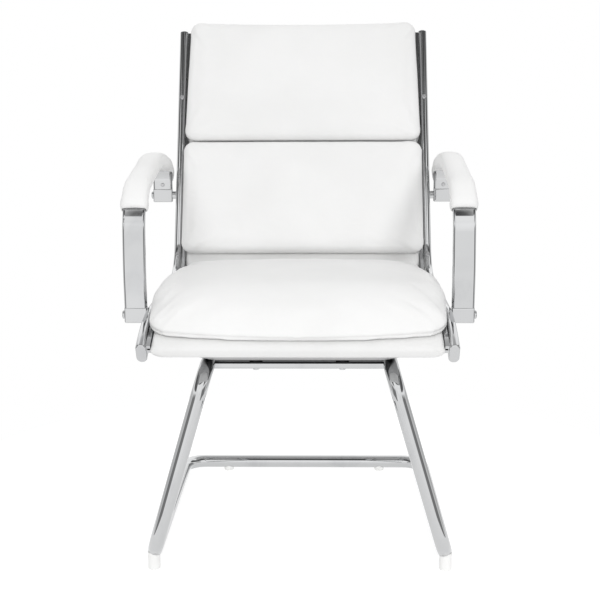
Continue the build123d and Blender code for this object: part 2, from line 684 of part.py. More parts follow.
with BuildPart() as seat_tube_plugs:
    plug_plane = Plane(origin=(LEG_TOP_X, SEAT_TUBE_END_Y, SEAT_TUBE_Z), x_dir=(1, 0, 0), z_dir=(0, 1, 0))
    with BuildSketch(plug_plane):
        Circle(TUBE_R)
    extrude(amount=PLUG_RIM)
    fillet(seat_tube_plugs.faces().sort_by(Axis.Y)[-1].edges(), PLUG_ROUND)
    with BuildSketch(plug_plane):
        Circle(TUBE_BORE / 2)
    extrude(amount=-PLUG_REACH)
    mirror(about=Plane.YZ)


def build_cross_bar(y):
    """Flat bar with rounded edges, coped to the seat tubes."""
    with BuildPart() as bar:
        with BuildSketch(Plane.YZ.offset(-LEG_TOP_X)):
            with Locations((y, BAR_Z)):
                RectangleRounded(BAR_DEPTH, BAR_HEIGHT, BAR_ROUND)
        extrude(amount=2 * LEG_TOP_X)
        add(TUBE_CUTTER, mode=Mode.SUBTRACT)
        with BuildSketch(Plane.XY.offset(BAR_Z)):
            with Locations((SEAT_BOLT_X, y), (-SEAT_BOLT_X, y)):
                Circle(SCREW_HOLE_D / 2)
        extrude(amount=BAR_HEIGHT, both=True, mode=Mode.SUBTRACT)
    return bar.part


with BuildPart() as front_cross_bar:
    add(build_cross_bar(FRONT_BAR_Y))
with BuildPart() as rear_cross_bar:
    add(build_cross_bar(REAR_BAR_Y))

BAR_TOP_Z = BAR_Z + BAR_HEIGHT / 2
BAR_LOW_Z = BAR_Z - BAR_HEIGHT / 2

with BuildPart() as seat_buffers:
    with BuildSketch(Plane.XY.offset(BAR_TOP_Z)):
        with Locations(*SEAT_BOLT_PLACES):
            Circle(BUFFER_D / 2)
            Circle(SCREW_HOLE_D / 2, mode=Mode.SUBTRACT)
    extrude(amount=PAN_BOTTOM_Z - BAR_TOP_Z)

with BuildPart() as seat_bolts:
    with BuildSketch(Plane.XY.offset(BAR_LOW_Z)):
        with Locations(*SEAT_BOLT_PLACES):
            Circle(SEAT_BOLT_HEAD_D / 2)
    extrude(amount=-SEAT_BOLT_HEAD_HEIGHT)
    fillet(seat_bolts.faces().group_by(Axis.Z)[0].edges(), SEAT_BOLT_DOME)
    with BuildSketch(Plane.XY.offset(BAR_LOW_Z)):
        with Locations(*SEAT_BOLT_PLACES):
            Circle(SCREW_D / 2)
    extrude(amount=PAN_BOTTOM_Z + PAN_WALL + SEAT_BOLT_REACH - BAR_LOW_Z)


# Glides under the base
def build_glide(place, diameter, top, cutter):
    """Round glide with a saddle for its tube and a sunk screw hole."""
    with BuildPart() as glide:
        with BuildSketch(Plane(origin=(place[0], place[1], 0))):
            Circle(diameter / 2)
        extrude(amount=top)
        chamfer(glide.faces().sort_by(Axis.Z)[0].edges(), GLIDE_EDGE)
        add(cutter, mode=Mode.SUBTRACT)
        with BuildSketch(Plane(origin=(place[0], place[1], 0))):
            Circle(GLIDE_SCREW_HEAD_D / 2)
        extrude(amount=GLIDE_SCREW_RECESS + GLIDE_SCREW_HEAD_HEIGHT, mode=Mode.SUBTRACT)
        with BuildSketch(Plane(origin=(place[0], place[1], 0))):
            Circle(GLIDE_SCREW_D / 2)
        extrude(amount=top, mode=Mode.SUBTRACT)
    return glide.part


def build_rear_tube_cutter():
    """Solid outline of the rear cross tube."""
    with BuildPart(mode=Mode.PRIVATE) as cutter:
        with BuildSketch(Plane.YZ.offset(-REAR_JOINT_X)):
            with Locations((REAR_TUBE_Y, REAR_TUBE_Z)):
                Circle(TUBE_R)
        extrude(amount=2 * REAR_JOINT_X)
    return cutter.part


def build_glide_screws(places, lowest_tube_z):
    """Sunk screws from below a glide into its tube."""
    with BuildPart() as screws:
        with BuildSketch(Plane.XY.offset(GLIDE_SCREW_RECESS)):
            with Locations(*places):
                Circle(GLIDE_SCREW_HEAD_D / 2)
        extrude(amount=GLIDE_SCREW_HEAD_HEIGHT)
        with BuildSketch(Plane.XY.offset(GLIDE_SCREW_RECESS)):
            with Locations(*places):
                Circle(GLIDE_SCREW_D / 2)
        extrude(amount=lowest_tube_z + GLIDE_SCREW_REACH - GLIDE_SCREW_RECESS)
    return screws.part


REAR_CUTTER = build_rear_tube_cutter()
front_bend_rise = FOOT_BEND + FOOT_TUBE_Z
front_bend_in = FOOT_BEND + FOOT_Y - FRONT_GLIDE_Y
front_tube_low = front_bend_rise - ((FOOT_BEND + TUBE_R) ** 2 - front_bend_in**2) ** 0.5

with BuildPart() as front_foot_right:
    add(build_glide(GLIDE_SCREW_PLACES["front"][1], FRONT_GLIDE_D, FRONT_GLIDE_TOP, TUBE_CUTTER))
with BuildPart() as front_foot_left:
    mirror(front_foot_right.part, about=Plane.YZ)
with BuildPart() as rear_glide_right:
    add(build_glide(GLIDE_SCREW_PLACES["rear"][1], REAR_GLIDE_D, REAR_GLIDE_TOP, REAR_CUTTER))
with BuildPart() as rear_glide_left:
    mirror(rear_glide_right.part, about=Plane.YZ)
with BuildPart() as front_foot_screws:
    add(build_glide_screws(GLIDE_SCREW_PLACES["front"], front_tube_low))
with BuildPart() as rear_glide_screws:
    add(build_glide_screws(GLIDE_SCREW_PLACES["rear"], REAR_GLIDE_HEIGHT))

# Arms: a flat bar bent into a loop, with a thicker flat end round each bolt
ARM_BOW_HEIGHT = SEAT_HEIGHT + ARM_BOW_SHARE * ARM_ELBOW_RISE
ARM_POINTS = (
    (0, SEAT_HEIGHT),
    (-ARM_BOW, ARM_BOW_HEIGHT),
    (0, ARM_ELBOW_HEIGHT),
    (ARM_CREST_SHARE * ARM_SPAN, ARM_CREST_HEIGHT),
    (ARM_SPAN - ARM_HEEL_SETBACK, ARM_HEEL_HEIGHT),
    (ARM_SPAN, ARM_REAR_HEIGHT),
)


def bend_radius(before, corner, after, reach):
    """Radius whose bend takes up a share of the shorter run beside a corner."""
    arrive = Vector(corner[0] - before[0], corner[1] - before[1], 0)
    leave = Vector(after[0] - corner[0], after[1] - corner[1], 0)
    return reach * min(arrive.length, leave.length) / tan(radians(arrive.get_angle(leave) / 2))


ARM_CORNERS = zip(ARM_POINTS, ARM_POINTS[1:], ARM_POINTS[2:], ARM_BEND_REACHES)
ARM_BENDS = [bend_radius(*corner) for corner in ARM_CORNERS]

# Screw on the front of the rear drop, below the end of the sleeve
SLEEVE_SCREW_HEIGHT = SLEEVE_LOW - SLEEVE_SCREW_DROP - SLEEVE_SCREW_HEAD_D / 2
heel_fall = ARM_HEEL_HEIGHT - ARM_REAR_HEIGHT
heel_length = hypot(ARM_HEEL_SETBACK, heel_fall)
heel_share = (SLEEVE_SCREW_HEIGHT - ARM_REAR_HEIGHT) / heel_fall
screw_out = (-heel_fall / heel_length, -ARM_HEEL_SETBACK / heel_length)
screw_along = ARM_SPAN - heel_share * ARM_HEEL_SETBACK + screw_out[0] * ARM_THICKNESS / 2
screw_up = SLEEVE_SCREW_HEIGHT + screw_out[1] * ARM_THICKNESS / 2
ARM_MIDDLE = arm_plane(ARM_WIDTH / 2)
SLEEVE_SCREW_PLANE = Plane(
    origin=ARM_MIDDLE.from_local_coords(Vector(screw_along, screw_up, 0)),
    x_dir=ARM_OUTWARD,
    z_dir=ARM_MIDDLE.x_dir * screw_out[0] + ARM_MIDDLE.y_dir * screw_out[1],
)



def build_arm_end(place):
    """Thicker flat end of an arm's bar, round one bolt."""
    with BuildPart() as end:
        with BuildSketch(arm_plane(0)):
            with Locations(place):
                RectangleRounded(ARM_END_DEPTH, ARM_END_LENGTH, ARM_END_ROUND)
        extrude(amount=ARM_WIDTH)
        fillet(end.faces().filter_by(Axis((0, 0, 0), ARM_OUTWARD)).edges(), ARM_END_EDGE)
    return end.part


with BuildPart() as arm_bar_right:
    with BuildLine(arm_plane(ARM_WIDTH / 2)) as arm_line:
        FilletPolyline(*ARM_POINTS, radius=ARM_BENDS)
    arm_wire = arm_line.wire()
    with BuildSketch(Plane(origin=arm_wire @ 0, x_dir=ARM_OUTWARD, z_dir=arm_wire % 0)):
        RectangleRounded(ARM_WIDTH, ARM_THICKNESS, ARM_ROUND)
    sweep(path=arm_wire)
    for place in ARM_BOLT_PLACES:
        add(build_arm_end(place))
    with BuildSketch(arm_plane(0)):
        with Locations(*ARM_BOLT_PLACES):
            Circle((ARM_BOLT_D + ARM_BOLT_CLEARANCE) / 2)
    extrude(amount=ARM_WIDTH, mode=Mode.SUBTRACT)
    with BuildSketch(arm_plane(ARM_WIDTH)):
        with Locations(*ARM_BOLT_PLACES):
            Circle((ARM_BOLT_HEAD_D + ARM_BOLT_CLEARANCE) / 2)
    extrude(amount=-ARM_BOLT_HEAD_SINK, mode=Mode.SUBTRACT)
    with BuildSketch(SLEEVE_SCREW_PLANE):
        Circle(SLEEVE_SCREW_D / 2)
    extrude(amount=-SLEEVE_SCREW_REACH, mode=Mode.SUBTRACT)
with BuildPart() as arm_bar_left:
    mirror(arm_bar_right.part, about=Plane.YZ)

with BuildPart() as arm_spacers:
    with BuildSketch(arm_plane(0)):
        with Locations(*ARM_BOLT_PLACES):
            Circle(ARM_SPACER_D / 2)
            Circle((ARM_BOLT_D + ARM_BOLT_CLEARANCE) / 2, mode=Mode.SUBTRACT)
    extrude(amount=-(ARM_REAR_GAP + RAIL_WIDTH))
    split(bisect_by=Plane.YZ.offset(RAIL_OUTER_X), keep=Keep.TOP)
    mirror(about=Plane.YZ)

with BuildPart() as arm_bolts:
    for place, gap in zip(ARM_BOLT_PLACES, (ARM_FRONT_GAP, ARM_REAR_GAP)):
        with BuildSketch(arm_plane(ARM_WIDTH - ARM_BOLT_HEAD_SINK)):
            with Locations(place):
                Circle(ARM_BOLT_HEAD_D / 2)
        extrude(amount=ARM_BOLT_HEAD_HEIGHT)
        with BuildSketch(arm_plane(ARM_WIDTH - ARM_BOLT_HEAD_SINK)):
            with Locations(place):
                Circle(ARM_BOLT_D / 2)
        extrude(amount=-(ARM_WIDTH - ARM_BOLT_HEAD_SINK + gap + ARM_BOLT_REACH))
    mirror(about=Plane.YZ)

with BuildPart() as arm_bolt_caps:
    with BuildSketch(arm_plane(ARM_WIDTH)):
        with Locations(*ARM_BOLT_PLACES):
            Circle(ARM_CAP_D / 2)
    extrude(amount=ARM_CAP_THICKNESS)
    outer_faces = arm_bolt_caps.faces().filter_by(Axis((0, 0, 0), ARM_OUTWARD))
    fillet(outer_faces.sort_by(Axis((0, 0, 0), ARM_OUTWARD))[-2:].edges(), ARM_CAP_ROUND)
    mirror(about=Plane.YZ)

with BuildPart() as arm_sleeve_right:
    with BuildLine(arm_plane(ARM_WIDTH / 2)) as sleeve_line:
        FilletPolyline(*ARM_POINTS, radius=ARM_BENDS)
    sleeve_wire = sleeve_line.wire()
    with BuildSketch(Plane(origin=sleeve_wire @ 0, x_dir=ARM_OUTWARD, z_dir=sleeve_wire % 0)):
        with Locations((0, (SLEEVE_UNDER - SLEEVE_OVER) / 2)):
            RectangleRounded(SLEEVE_WIDTH, ARM_THICKNESS + SLEEVE_OVER + SLEEVE_UNDER, SLEEVE_ROUND)
        hollow_round = ARM_ROUND + SOFT_GAP
        hollow_size = (ARM_WIDTH + 2 * SOFT_GAP, ARM_THICKNESS + 2 * SOFT_GAP)
        RectangleRounded(hollow_size[0], hollow_size[1], hollow_round, mode=Mode.SUBTRACT)
    sweep(path=sleeve_wire)
    split(bisect_by=Plane.XY.offset(SLEEVE_LOW), keep=Keep.TOP)
with BuildPart() as arm_sleeve_left:
    mirror(arm_sleeve_right.part, about=Plane.YZ)

with BuildPart() as arm_sleeve_screws:
    with BuildSketch(SLEEVE_SCREW_PLANE):
        Circle(SLEEVE_SCREW_HEAD_D / 2)
    extrude(amount=SLEEVE_SCREW_HEAD_HEIGHT)
    head_axis = Axis(SLEEVE_SCREW_PLANE.origin, SLEEVE_SCREW_PLANE.z_dir)
    fillet(arm_sleeve_screws.faces().sort_by(head_axis)[-1].edges(), SLEEVE_SCREW_DOME)
    with BuildSketch(SLEEVE_SCREW_PLANE):
        Circle(SLEEVE_SCREW_D / 2)
    extrude(amount=-SLEEVE_SCREW_REACH)
    mirror(about=Plane.YZ)

PIECES = {
    "side_rail_left": side_rail_left,
    "side_rail_right": side_rail_right,
    "rail_front_cap_left": rail_front_cap_left,
    "rail_front_cap_right": rail_front_cap_right,
    "rail_top_cap_left": rail_top_cap_left,
    "rail_top_cap_right": rail_top_cap_right,
    "seat_front_spreader": seat_front_spreader,
    "seat_rear_spreader": seat_rear_spreader,
    "back_lower_spreader": back_lower_spreader,
    "back_upper_spreader": back_upper_spreader,
    "back_rail_screws": back_rail_screws,
    "seat_rail_screws": seat_rail_screws,
    "seat_sling": seat_sling,
    "back_sling": back_sling,
    "seat_cushion": seat_cushion,
    "lower_back_cushion": lower_back_cushion,
    "upper_back_cushion": upper_back_cushion,
    "seat_pan": seat_pan,
    "pan_bolts": pan_bolts,
    "base_tube_left": base_tube_left,
    "base_tube_right": base_tube_right,
    "rear_cross_tube": rear_cross_tube,
    "seat_tube_plugs": seat_tube_plugs,
    "front_cross_bar": front_cross_bar,
    "rear_cross_bar": rear_cross_bar,
    "seat_buffers": seat_buffers,
    "seat_bolts": seat_bolts,
    "front_foot_left": front_foot_left,
    "front_foot_right": front_foot_right,
    "rear_glide_left": rear_glide_left,
    "rear_glide_right": rear_glide_right,
    "front_foot_screws": front_foot_screws,
    "rear_glide_screws": rear_glide_screws,
    "arm_bar_left": arm_bar_left,
    "arm_bar_right": arm_bar_right,
    "arm_spacers": arm_spacers,
    "arm_bolts": arm_bolts,
    "arm_bolt_caps": arm_bolt_caps,
    "arm_sleeve_screws": arm_sleeve_screws,
    "arm_sleeve_left": arm_sleeve_left,
    "arm_sleeve_right": arm_sleeve_right,
}

for name, piece in PIECES.items():
    piece.part.label = name
    export_step(piece.part, f"parts/{name}.step")
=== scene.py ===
"""White soft-pad visitor chair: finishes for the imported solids, and its sewn upholstery.

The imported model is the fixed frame, in metres. The cushions, slings and arm sleeves are new
pieces that stand for their plain solids, and every other solid keeps its shape and gets a finish.
"""

import json
import logging
import math
from dataclasses import dataclass
from enum import Enum
from typing import Callable, Union

import bpy
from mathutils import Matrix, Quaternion, Vector, noise

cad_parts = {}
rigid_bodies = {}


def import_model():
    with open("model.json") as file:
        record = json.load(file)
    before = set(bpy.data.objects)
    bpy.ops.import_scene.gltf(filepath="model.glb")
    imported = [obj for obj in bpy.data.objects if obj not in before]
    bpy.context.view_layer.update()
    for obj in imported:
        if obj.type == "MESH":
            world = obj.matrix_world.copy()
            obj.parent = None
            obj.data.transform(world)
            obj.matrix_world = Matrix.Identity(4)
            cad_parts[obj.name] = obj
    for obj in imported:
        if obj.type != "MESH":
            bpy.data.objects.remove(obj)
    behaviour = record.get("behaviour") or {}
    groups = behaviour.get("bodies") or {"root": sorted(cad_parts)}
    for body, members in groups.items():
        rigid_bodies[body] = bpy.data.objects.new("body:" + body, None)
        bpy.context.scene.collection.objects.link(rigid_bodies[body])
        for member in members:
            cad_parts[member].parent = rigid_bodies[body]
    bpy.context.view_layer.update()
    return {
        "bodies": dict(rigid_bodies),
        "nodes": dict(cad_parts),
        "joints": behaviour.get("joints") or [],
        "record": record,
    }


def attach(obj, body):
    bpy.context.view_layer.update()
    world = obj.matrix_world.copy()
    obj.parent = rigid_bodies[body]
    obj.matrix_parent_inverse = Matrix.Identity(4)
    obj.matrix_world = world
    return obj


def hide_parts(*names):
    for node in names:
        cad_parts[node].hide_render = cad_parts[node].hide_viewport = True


log = logging.getLogger("visitor_chair")
BODY = "root"
Colour = tuple[float, float, float]
Value = Union["Sock", float, tuple]
Span = tuple[float, float]
Line = list[tuple[Vector, Vector]]
WHITE = (1.0, 1.0, 1.0, 1.0)
DOUBLES = 0.00002


class Sock:
    """An output socket. Sums and products of it add Math nodes."""

    def __init__(self, graph: "Graph", socket: bpy.types.NodeSocket) -> None:
        """Wraps one socket of a graph."""
        self.graph = graph
        self.socket = socket

    def math(self, operation: str, first: Value, second: Value) -> "Sock":
        """Adds one Math node and returns its result."""
        return self.graph.get("ShaderNodeMath", {"operation": operation}, {0: first, 1: second})

    def __add__(self, other: Value) -> "Sock":
        """Sum."""
        return self.math("ADD", self, other)

    __radd__ = __add__

    def __sub__(self, other: Value) -> "Sock":
        """Difference."""
        return self.math("SUBTRACT", self, other)

    def __rsub__(self, other: Value) -> "Sock":
        """Difference from a number."""
        return self.math("SUBTRACT", other, self)

    def __mul__(self, other: Value) -> "Sock":
        """Product."""
        return self.math("MULTIPLY", self, other)

    __rmul__ = __mul__

    def step(self, low: float, high: float) -> "Sock":
        """Smooth step from 0 at low to 1 at high."""
        values = {"Value": self, "From Min": low, "From Max": high}
        return self.graph.get("ShaderNodeMapRange", {"interpolation_type": "SMOOTHSTEP"}, values)


class Graph:
    """A node tree that is filled in by calls."""

    def __init__(self, tree: bpy.types.NodeTree) -> None:
        """Takes a node tree and empties it."""
        self.tree = tree
        tree.nodes.clear()

    def add(self, kind: str, settings: dict, values: dict) -> bpy.types.Node:
        """Adds a node.

        Args:
            kind: The node's type.
            settings: Properties, which are set first.
            values: Input sockets by name or index, as numbers, tuples or sockets.

        Returns:
            The new node.
        """
        node = self.tree.nodes.new(kind)
        for key, setting in settings.items():
            setattr(node, key, setting)
        for key, value in values.items():
            if isinstance(value, Sock):
                self.tree.links.new(value.socket, node.inputs[key])
            else:
                node.inputs[key].default_value = value
        return node

    def get(self, kind: str, settings: dict, values: dict, output: Union[int, str] = 0) -> Sock:
        """Adds a node and returns one of its outputs."""
        return Sock(self, self.add(kind, settings, values).outputs[output])

    def place(self, scale: Colour = (1.0, 1.0, 1.0), turn: Colour = (0.0, 0.0, 0.0)) -> Sock:
        """Object coordinates, stretched and turned."""
        where = self.get("ShaderNodeTexCoord", {}, {}, "Object")
        return self.get("ShaderNodeMapping", {}, {"Vector": where, "Scale": scale, "Rotation": turn})

    def noise(self, where: Sock, scale: float, detail: float = 3.0, bend: float = 0.0) -> Sock:
        """Cloudy noise from 0 to 1."""
        values = {"Vector": where, "Scale": scale, "Detail": detail, "Distortion": bend}
        return self.get("ShaderNodeTexNoise", {}, values)

    def pebble(self, where: Sock, scale: float) -> Sock:
        """Distance from the middle of round cells."""
        values = {"Vector": where, "Scale": scale, "Smoothness": 0.35}
        return self.get("ShaderNodeTexVoronoi", {"feature": "SMOOTH_F1"}, values)

    def blend(self, share: Sock, first: Union[Colour, Sock], second: Union[Colour, Sock]) -> Sock:
        """Colour between two others.

        Args:
            share: 0 for the first colour, 1 for the second.
            first: A colour or a socket.
            second: A colour or a socket.

        Returns:
            The blended colour.
        """
        first, second = ((*part, 1.0) if isinstance(part, tuple) else part for part in (first, second))
        values = {0: share, 6: first, 7: second}
        return self.get("ShaderNodeMix", {"data_type": "RGBA"}, values, 2)

    def bump(self, height: Sock, depth: float, strength: float) -> Sock:
        """Normal that is tilted by a height in metres."""
        return self.get("ShaderNodeBump", {}, {"Height": height, "Distance": depth, "Strength": strength})


@dataclass(frozen=True)
class Finish:
    """What every finish has: a name, and the two colours that it drifts between."""

    name: str
    tone: Colour
    shade: Colour

    def make(self) -> bpy.types.Material:
        """Builds the material.

        Returns:
            A material with procedural nodes on Object coordinates.
        """
        material = bpy.data.materials.new(self.name)
        material.use_nodes = True
        graph = Graph(material.node_tree)
        shader = graph.add("ShaderNodeBsdfPrincipled", {}, self.surface(graph))
        graph.add("ShaderNodeOutputMaterial", {}, {"Surface": Sock(graph, shader.outputs[0])})
        material.diffuse_color = (*self.tone, 1.0)
        return material

    def surface(self, graph: Graph) -> dict:
        """Values of the shader's sockets, which each kind of finish gives."""
        raise NotImplementedError


@dataclass(frozen=True)
class Leatherette(Finish):
    """Coated cloth with a pebble grain and faint handling creases."""

    grain: float = 620.0
    gloss: float = 0.44

    def surface(self, graph: Graph) -> dict:
        """Pebbles in the bump, cloudy colour and roughness.

        Args:
            graph: The material's node tree.

        Returns:
            Values of the shader's sockets by name.
        """
        where = graph.place()
        pebbles = graph.pebble(where, self.grain)
        coarse = graph.pebble(where, self.grain * 0.37)
        cloud = graph.noise(where, 7.0, 4.0)
        crease = graph.noise(graph.place((1.0, 2.6, 2.6), (0.2, 0.1, 0.6)), 26.0, 5.0, 1.4)
        fold = crease.step(0.56, 0.72)
        grain = pebbles * 0.65 + coarse * 0.35
        return {
            "Base Color": graph.blend(cloud.step(0.3, 0.75) * 0.6 + grain * 0.25, self.tone, self.shade),
            "Roughness": self.gloss + 0.10 * cloud - 0.05 * grain,
            "Specular IOR Level": 0.42,
            "Normal": graph.bump(grain * 0.8 + fold * 0.5, 0.00045, 0.32),
        }


@dataclass(frozen=True)
class Chrome(Finish):
    """Bright plate with faint wiping marks."""

    gloss: float = 0.035

    def surface(self, graph: Graph) -> dict:
        """Mirror metal that clouds a little where hands wipe it.

        Args:
            graph: The material's node tree.

        Returns:
            Values of the shader's sockets by name.
        """
        where = graph.place()
        smear = graph.noise(graph.place((1.0, 1.0, 0.35)), 16.0, 6.0, 0.8).step(0.48, 0.78)
        ripple = graph.noise(where, 42.0, 2.0)
        return {
            "Base Color": graph.blend(smear, self.tone, self.shade),
            "Metallic": 1.0,
            "Roughness": self.gloss + 0.075 * smear,
            "Normal": graph.bump(ripple, 0.0004, 0.05),
        }


@dataclass(frozen=True)
class Zinc(Finish):
    """Dull plated steel of small fasteners."""

    def surface(self, graph: Graph) -> dict:
        """Spangled metal with turning marks.

        Args:
            graph: The material's node tree.

        Returns:
            Values of the shader's sockets by name.
        """
        spangle = graph.pebble(graph.place(), 900.0)
        mark = graph.noise(graph.place((1.0, 1.0, 9.0)), 380.0, 2.0)
        return {
            "Base Color": graph.blend(spangle, self.tone, self.shade),
            "Metallic": 1.0,
            "Roughness": 0.2 + 0.18 * mark,
            "Normal": graph.bump(mark, 0.0001, 0.2),
        }


@dataclass(frozen=True)
class Moulded(Finish):
    """Moulded or sprayed skin: satin, with a fine texture."""

    texture: float = 900.0
    depth: float = 0.00015
    gloss: float = 0.4

    def surface(self, graph: Graph) -> dict:
        """Fine skin texture, cloudy tone, and rubbed patches that shine more.

        Args:
            graph: The material's node tree.

        Returns:
            Values of the shader's sockets by name.
        """
        where = graph.place()
        skin = graph.noise(where, self.texture, 2.0)
        cloud = graph.noise(where, 11.0, 4.0)
        rub = graph.noise(where, 46.0, 5.0, 0.7).step(0.58, 0.76)
        return {
            "Base Color": graph.blend(cloud.step(0.3, 0.75) * 0.7 + skin * 0.3, self.tone, self.shade),
            "Roughness": self.gloss + 0.12 * cloud - 0.1 * rub,
            "Normal": graph.bump(skin, self.depth, 0.35),
        }


@dataclass(frozen=True)
class PaintedShadeBoard(Moulded):
    """Moulded board whose underside is coloured near-black below one height: painted shade under the seat
    pan.
    """

    # Near-black colour of the painted shade on the underside.
    under: Colour = (0.02, 0.02, 0.021)
    level: float = 0.3628
    fade: float = 0.002

    def surface(self, graph: Graph) -> dict:
        """Moulded skin, dark below one height.

        Args:
            graph: The material's node tree.

        Returns:
            Moulded skin, with painted shade below one height.
        """
        sockets = super().surface(graph)
        height = graph.add("ShaderNodeSeparateXYZ", {}, {0: graph.place()})
        above = Sock(graph, height.outputs["Z"]).step(self.level, self.level + self.fade)
        # Painted shade: below the level the board's colour turns near-black.
        sockets["Base Color"] = graph.blend(above, self.under, sockets["Base Color"])
        return sockets


@dataclass(frozen=True)
class Paper(Finish):
    """Pale studio paper, lit a little from within so that it stays white."""

    glow: float = 0.75

    def surface(self, graph: Graph) -> dict:
        """Soft paper with a faint cloud.

        Args:
            graph: The material's node tree.

        Returns:
            Values of the shader's sockets by name.
        """
        cloud = graph.noise(graph.place(), 3.0, 4.0)
        return {
            "Base Color": graph.blend(cloud, self.tone, self.shade),
            "Roughness": 0.7 + 0.1 * cloud,
            "Emission Color": WHITE,
            "Emission Strength": self.glow,
        }


class Look(Enum):
    """The chair's finishes, each named after a material slot of the record."""

    CHROME = Chrome("chrome", (0.53, 0.535, 0.54), (0.47, 0.475, 0.485))
    SCREW = Zinc("screw_steel", (0.60, 0.60, 0.61), (0.46, 0.46, 0.47))
    PAINT = Moulded("spreader_paint", (0.62, 0.62, 0.625), (0.55, 0.55, 0.555), 700.0, 0.0002, 0.34)
    PAD = Leatherette("leatherette", (0.90, 0.90, 0.897), (0.845, 0.845, 0.84))
    SLING = Leatherette("sling_leatherette", (0.85, 0.85, 0.845), (0.79, 0.79, 0.785), 620.0, 0.42)
    # Seat pan board, with painted shade on its underside.
    BOARD = PaintedShadeBoard("pan_board", (0.48, 0.48, 0.483), (0.42, 0.42, 0.423), 420.0, 0.0004, 0.30)
    RUBBER = Moulded("black_rubber", (0.018, 0.018, 0.019), (0.03, 0.03, 0.031), 800.0, 0.0002, 0.58)
    NYLON = Moulded("glide_plastic", (0.86, 0.86, 0.85), (0.78, 0.78, 0.77), 600.0, 0.0001, 0.34)


class Side(Enum):
    """Which arm a piece belongs to, with the sign of its X."""

    LEFT = -1.0
    RIGHT = 1.0


class Palette:
    """Makes each finish once and gives it out."""

    def __init__(self) -> None:
        """Makes every finish."""
        self.made = {look: look.value.make() for look in Look}
        self.by_slot = {look.value.name: self.made[look] for look in Look}

    def dress(self, piece: bpy.types.Object, look: Look) -> None:
        """Gives a new piece one finish.

        Args:
            piece: The new piece.
            look: Its finish.
        """
        piece.data.materials.clear()
        piece.data.materials.append(self.made[look])
        look.value.name

    def dress_nodes(self, frame: dict) -> None:
        """Gives every solid of the frame the finish of its slot.
        """
        for part in frame["record"]["subparts"]:
            piece = frame["nodes"][part["node"]]
            finish = self.by_slot[part["material_slot"]]
            if piece.data.materials:
                for index in range(len(piece.data.materials)):
                    piece.data.materials[index] = finish
            else:
                piece.data.materials.append(finish)
            log.info("solid %s: %s", part["node"], finish.name)


class Bench:
    """Hand moves on one piece, made with Blender's operators."""

    @staticmethod
    def take(piece: bpy.types.Object) -> None:
        """Selects one piece alone and makes it active.

        Args:
            piece: The piece to work on.
        """
        bpy.ops.object.select_all(action="DESELECT")
        piece.select_set(True)
        bpy.context.view_layer.objects.active = piece

    @staticmethod
    def block(name: str, cuts: int) -> bpy.types.Object:
        """A cube from -1 to 1, cut into a grid on every side.

        Args:
            name: Name of the piece.
            cuts: Cuts along each edge.

        Returns:
            The new piece.
        """
        bpy.ops.object.select_all(action="DESELECT")
        bpy.ops.mesh.primitive_cube_add(size=2.0)
        piece = bpy.context.object
        piece.name = piece.data.name = name
        bpy.ops.object.mode_set(mode="EDIT")
        bpy.ops.mesh.select_all(action="SELECT")
        bpy.ops.mesh.subdivide(number_cuts=cuts)
        bpy.ops.object.mode_set(mode="OBJECT")
        return piece

    @staticmethod
    def hose(name: str, sides: int, cuts: int) -> bpy.types.Object:
        """An open round tube from -1 to 1 along Z, cut into rings.

        Args:
            name: Name of the piece.
            sides: Points round the tube.
            cuts: Cuts along it.

        Returns:
            The new piece.
        """
        bpy.ops.object.select_all(action="DESELECT")
        bpy.ops.mesh.primitive_cylinder_add(vertices=sides, radius=1.0, depth=2.0, end_fill_type="NOTHING")
        piece = bpy.context.object
        piece.name = piece.data.name = name
        bpy.ops.object.mode_set(mode="EDIT")
        bpy.ops.mesh.select_mode(type="EDGE")
        bpy.ops.mesh.select_all(action="DESELECT")
        bpy.ops.object.mode_set(mode="OBJECT")
        points = piece.data.vertices
        for edge in piece.data.edges:
            low, high = (points[i].co.z for i in edge.vertices)
            edge.select = abs(low - high) > 1.0
        bpy.ops.object.mode_set(mode="EDIT")
        bpy.ops.mesh.subdivide(number_cuts=cuts)
        bpy.ops.mesh.select_mode(type="VERT")
        bpy.ops.object.mode_set(mode="OBJECT")
        return piece

    @staticmethod
    def move(piece: bpy.types.Object, rule: Callable[[Vector], Vector]) -> None:
        """Moves every point by a rule.

        Args:
            piece: The piece.
            rule: Gives a point's new place.
        """
        for point in piece.data.vertices:
            point.co = rule(point.co.copy())
        piece.data.update()

    @staticmethod
    def apply(piece: bpy.types.Object, kind: str, **settings: object) -> None:
        """Adds a modifier with its settings and applies it.

        Args:
            piece: The piece.
            kind: The modifier's type.
            settings: The modifier's properties.
        """
        Bench.take(piece)
        modifier = piece.modifiers.new(kind.lower(), kind)
        for key, setting in settings.items():
            setattr(modifier, key, setting)
        bpy.ops.object.modifier_apply(modifier=modifier.name)

    @staticmethod
    def close(piece: bpy.types.Object) -> None:
        """Merges doubles, turns the faces outwards and shades them smooth.

        Args:
            piece: The piece.
        """
        Bench.take(piece)
        bpy.ops.object.mode_set(mode="EDIT")
        bpy.ops.mesh.select_all(action="SELECT")
        bpy.ops.mesh.remove_doubles(threshold=DOUBLES)
        bpy.ops.mesh.normals_make_consistent(inside=False)
        bpy.ops.object.mode_set(mode="OBJECT")
        bpy.ops.object.shade_smooth()

    @staticmethod
    def soften(piece: bpy.types.Object) -> None:
        """One level of subdivision, applied."""
        Bench.apply(piece, "SUBSURF", levels=1, render_levels=1)


